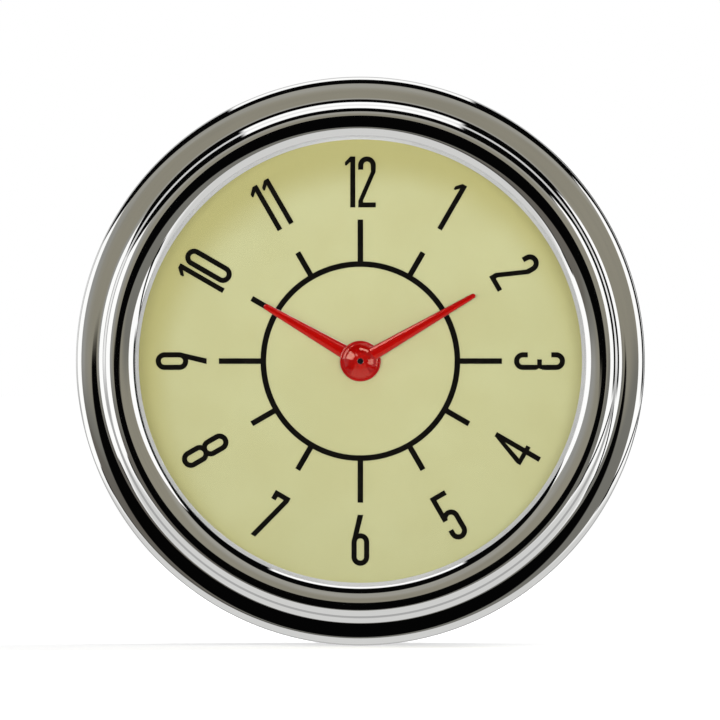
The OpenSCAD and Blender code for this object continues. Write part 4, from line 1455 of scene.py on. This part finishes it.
    def grey_card(
        self, tree: bpy.types.NodeTree, right: Signal, up: Signal, colour: Signal
    ) -> Signal:
        """Lays the large grey card with its darker foot over the colour.

        Args:
            tree: The world's tree.
            right: Degrees to the right of the camera.
            up: Degrees above the camera.
            colour: What is behind the card.

        Returns:
            The colour with the card.
        """
        shape = self.card_head.mask(right, up) * self.card_foot.mask(right, up)
        shape = shape * right.rise(*self.card_left) * right.rise(*self.card_right)
        card = mixed(tree, right.rise(*self.cool_side), self.card, self.card_cool)
        card = mixed(tree, up.rise(*self.top_step), card, self.card_top)
        level = up - right.rise(*self.horizon_side) * self.horizon_lift
        card = mixed(tree, level.rise(*self.horizon), card, self.card_low)
        corner = right.rise(*self.corner_side) * up.rise(*self.corner_step)
        card = mixed(tree, corner, card, self.card_corner)
        foot = self.card_foot
        inner = Round(foot.right, foot.up, foot.radius - self.edge_width)
        edge = inner.mask(right, up, self.edge_soft).invert() * right.rise(*self.edge_side)
        card = mixed(tree, edge, card, self.card_edge)
        clouds = noise(tree, place_in(tree, "Generated"), self.cloud_scale)
        clouds = clouds.rise(*self.cloud_step) * self.clouding
        card = mixed(tree, clouds, card, self.card_low)
        return mixed(tree, shape, colour, card)


@dataclass(frozen=True)
class SoftBox:
    """A small lamp that shines in lacquer: where it hangs, its size and its brightness.

    Turn and off are in degrees, clockwise from straight up and off the camera's direction, and
    its width and height in metres.
    """

    name: str
    turn: float
    off: float
    wide: float
    high: float
    radiance: float
    tint: Colour = (1.0, 0.66, 0.51)

    def place(self, reach: float) -> Vector:
        """Returns where the lamp hangs.

        Args:
            reach: How far from the clock, in metres.

        Returns:
            The place, turned clockwise from straight up and off the camera's direction.
        """
        lean, spin = math.radians(self.off), math.radians(self.turn)
        aside = math.sin(lean) * reach
        return Vector((aside * math.sin(spin), -math.cos(lean) * reach, aside * math.cos(spin)))

    def watts(self) -> float:
        """Returns the power that gives the lamp its brightness."""
        return self.radiance * math.pi * self.wide * self.high


HAND_BOXES = (
    SoftBox("left_box", turn=-62.0, off=76.0, wide=0.33, high=0.28, radiance=19.0),
    SoftBox("right_box", turn=94.0, off=74.0, wide=0.26, high=0.24, radiance=12.0),
    SoftBox("top_strip", turn=18.0, off=85.0, wide=0.40, high=0.05, radiance=19.0),
    SoftBox(
        "edge_box", turn=-30.0, off=58.0, wide=0.06, high=0.34, radiance=24.0,
        tint=(1.0, 0.5, 0.42),
    ),
    SoftBox(
        "low_board", turn=180.0, off=62.0, wide=0.90, high=0.90, radiance=3.9,
        tint=(1.0, 0.31, 0.21),
    ),
)
HOUR_BOXES = (
    SoftBox(
        "upper_strip", turn=30.0, off=40.0, wide=0.09, high=0.10, radiance=14.0,
        tint=(1.0, 0.3, 0.27),
    ),
)


class Studio:
    """The floor, the lamps, the surroundings that the chrome mirrors, and the camera.

    Lengths and places are in metres, and the lens and its sensor in the camera's millimetres.
    """

    FLOOR_DROP = 30.76 * MM
    FLOOR_SIDE = 40.0
    FLOOR_COLOUR = (0.9, 0.9, 0.9, 1.0)
    FLOOR_ROUGHNESS = 0.9
    FLOOR_GLOW = 0.72
    SHADE_GLOW = 0.47
    SHADE_REACH: Step = (0.08, 0.5)
    WHITE: Colour = (1.0, 1.0, 1.0)
    FILL: Colour = (0.32, 0.32, 0.32)
    FRONT_PLACE = Vector((0.0, -0.98, 0.012))
    FRONT_SIZE = (0.45, 0.075)
    FRONT_WATTS = 6.8
    REAR_LAMPS = (
        ("rear_lamp", Vector((0.45, 0.80, 0.55)), (0.6, 0.6), 9.0),
        ("side_lamp", Vector((-0.90, 0.45, 0.35)), (0.7, 0.7), 7.0),
    )
    BOX_REACH = 0.5
    LEAST_ASIDE = 0.3
    LENS = 1388.0
    SENSOR = 36.0
    CLIP = (0.01, 100.0)
    EYE = (-0.04 * MM, -3.005, 0.12 * MM)

    def floor(self) -> None:
        """Lays a plain pale floor, which glows less near the clock and keeps its shadow."""
        mesh = bpy.data.meshes.new("floor")
        bm = bmesh.new()
        bmesh.ops.create_grid(bm, x_segments=1, y_segments=1, size=self.FLOOR_SIDE / 2)
        bmesh.ops.translate(bm, verts=bm.verts, vec=(0, 0, -self.FLOOR_DROP))
        bm.to_mesh(mesh)
        bm.free()
        floor = bpy.data.objects.new("floor", mesh)
        bpy.context.scene.collection.objects.link(floor)
        floor.visible_glossy = False
        floor.visible_transmission = False
        made = bpy.data.materials.new("pale_floor")
        made.use_nodes = True
        tree = made.node_tree
        shader = tree.nodes["Principled BSDF"]
        shader.inputs["Base Color"].default_value = self.FLOOR_COLOUR
        shader.inputs["Roughness"].default_value = self.FLOOR_ROUGHNESS
        shader.inputs["Specular IOR Level"].default_value = 0.0
        shader.inputs["Emission Color"].default_value = (*self.WHITE, 1.0)
        path = tree.nodes.new("ShaderNodeLightPath")
        seen = Signal(tree, path.outputs["Is Camera Ray"])
        x, y, _ = axes_of(place_in(tree))
        away = length_of(x, y).rise(*self.SHADE_REACH)
        glow = seen * (away * (self.FLOOR_GLOW - self.SHADE_GLOW) + self.SHADE_GLOW)
        tree.links.new(glow.socket, shader.inputs["Emission Strength"])
        mesh.materials.append(made)

    def surroundings(self) -> None:
        """Paints the studio that polished metal mirrors, and an even light for the rest."""
        world = bpy.data.worlds.new("studio")
        bpy.context.scene.world = world
        world.use_nodes = True
        tree = world.node_tree
        light = Surroundings().paint(tree)
        path = tree.nodes.new("ShaderNodeLightPath")
        mirrored = Signal(tree, path.outputs["Is Glossy Ray"])
        mirrored = mirrored.most(Signal(tree, path.outputs["Is Transmission Ray"]))
        diffuse = Signal(tree, path.outputs["Is Diffuse Ray"])
        colour = mixed(tree, mirrored, self.WHITE, light)
        colour = mixed(tree, diffuse, colour, self.FILL)
        background = tree.nodes["Background"]
        tree.links.new(colour.socket, background.inputs["Color"])

    def lamp(
        self, name: str, place: Vector, size: tuple[float, float], watts: float
    ) -> bpy.types.Object:
        """Hangs a soft lamp that faces the clock.

        Args:
            name: The lamp's name.
            place: Where it hangs.
            size: Its width and height.
            watts: Its power.

        Returns:
            The lamp.
        """
        light = bpy.data.lights.new(name, "AREA")
        light.shape = "RECTANGLE"
        light.size, light.size_y = size
        light.energy = watts
        lamp = bpy.data.objects.new(name, light)
        lamp.location = place
        across = Vector((0, -1, 0)).cross(place)
        if across.length <= self.LEAST_ASIDE:
            across = Vector((1, 0, 0))
        towards = place.normalized()
        axes = Matrix((across.normalized(), towards.cross(across).normalized(), towards))
        lamp.rotation_euler = axes.transposed().to_euler()
        lamp.visible_glossy = False
        lamp.visible_camera = False
        lamp.visible_transmission = False
        bpy.context.scene.collection.objects.link(lamp)
        return lamp

    def shine(
        self, name: str, lamps: tuple[SoftBox, ...], pieces: list[bpy.types.Object]
    ) -> None:
        """Hangs small soft boxes that only shine, and in some pieces alone.

        Args:
            name: The name of the collection that holds the pieces.
            lamps: The soft boxes.
            pieces: The pieces that mirror them.
        """
        lit = bpy.data.collections.new(name)
        for piece in pieces:
            lit.objects.link(piece)
        for box in lamps:
            place = box.place(self.BOX_REACH)
            lamp = self.lamp(box.name, place, (box.wide, box.high), box.watts())
            lamp.data.color = box.tint
            lamp.visible_glossy = True
            lamp.visible_diffuse = False
            lamp.light_linking.receiver_collection = lit

    def rear_lamps(self) -> None:
        """Hangs the lamps behind the clock, which the bezel's front doesn't mirror."""
        lit = bpy.data.collections.new("lit_from_behind")
        for piece in bpy.data.objects:
            if piece.type == "MESH" and piece.name != "chrome_bezel":
                lit.objects.link(piece)
        for name, place, size, watts in self.REAR_LAMPS:
            lamp = self.lamp(name, place, size, watts)
            lamp.visible_glossy = True
            lamp.light_linking.receiver_collection = lit

    def plain_mirror(self) -> None:
        """Lets the polished metal mirror the studio alone, and not the clock itself."""
        for piece in bpy.data.objects:
            if piece.type == "MESH":
                piece.visible_glossy = False

    def camera(self) -> None:
        """Sets the camera straight in front of the dial."""
        data = bpy.data.cameras.new("camera")
        data.lens = self.LENS
        data.sensor_width = self.SENSOR
        data.clip_start, data.clip_end = self.CLIP
        camera = bpy.data.objects.new("camera", data)
        camera.location = self.EYE
        camera.rotation_euler = (math.pi / 2, 0.0, 0.0)
        bpy.context.scene.collection.objects.link(camera)
        bpy.context.scene.camera = camera

    def build(self, hands: list[bpy.types.Object]) -> None:
        """Sets up the whole studio.

        Args:
            hands: The clock's two hands.
        """
        self.floor()
        self.surroundings()
        self.lamp("front_lamp", self.FRONT_PLACE, self.FRONT_SIZE, self.FRONT_WATTS)
        self.rear_lamps()
        self.shine("lacquered_hands", HAND_BOXES, hands)
        self.shine("lower_hand", HOUR_BOXES, hands[:1])
        self.camera()
        self.plain_mirror()
        bpy.context.scene.view_settings.view_transform = "Standard"


def main() -> None:
    """Builds the clock's pieces in order, and then the studio."""
    logging.basicConfig(level=logging.INFO, format="%(message)s")
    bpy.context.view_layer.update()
    Bezel().build()
    DialSet().build()
    DialPrint().build()
    hour = Hand(
        "hour_hand_red", "hour_hand", "hour_hand_group", at=300.0, length=12.05, root_w=1.67,
        tip_w=0.66, hub_r=2.21, hub_h=(-1.05, -0.45), blade_h=(-0.95, -0.55), hole_r=0.87,
        hub_round=0.18, domed=False,
    )
    minute = Hand(
        "minute_hand_red", "minute_hand", "minute_hand_group", at=60.0, length=14.36,
        root_w=1.54, tip_w=0.54, hub_r=1.93, hub_h=(0.05, 0.75), blade_h=(0.25, 0.65),
        hole_r=0.32, hub_round=0.06, domed=True,
    )
    hands = [hour.build(), minute.build()]
    RearSet().build()
    CarriedOver().dress()
    Studio().build(hands)


if __name__ == "__main__":
    main()
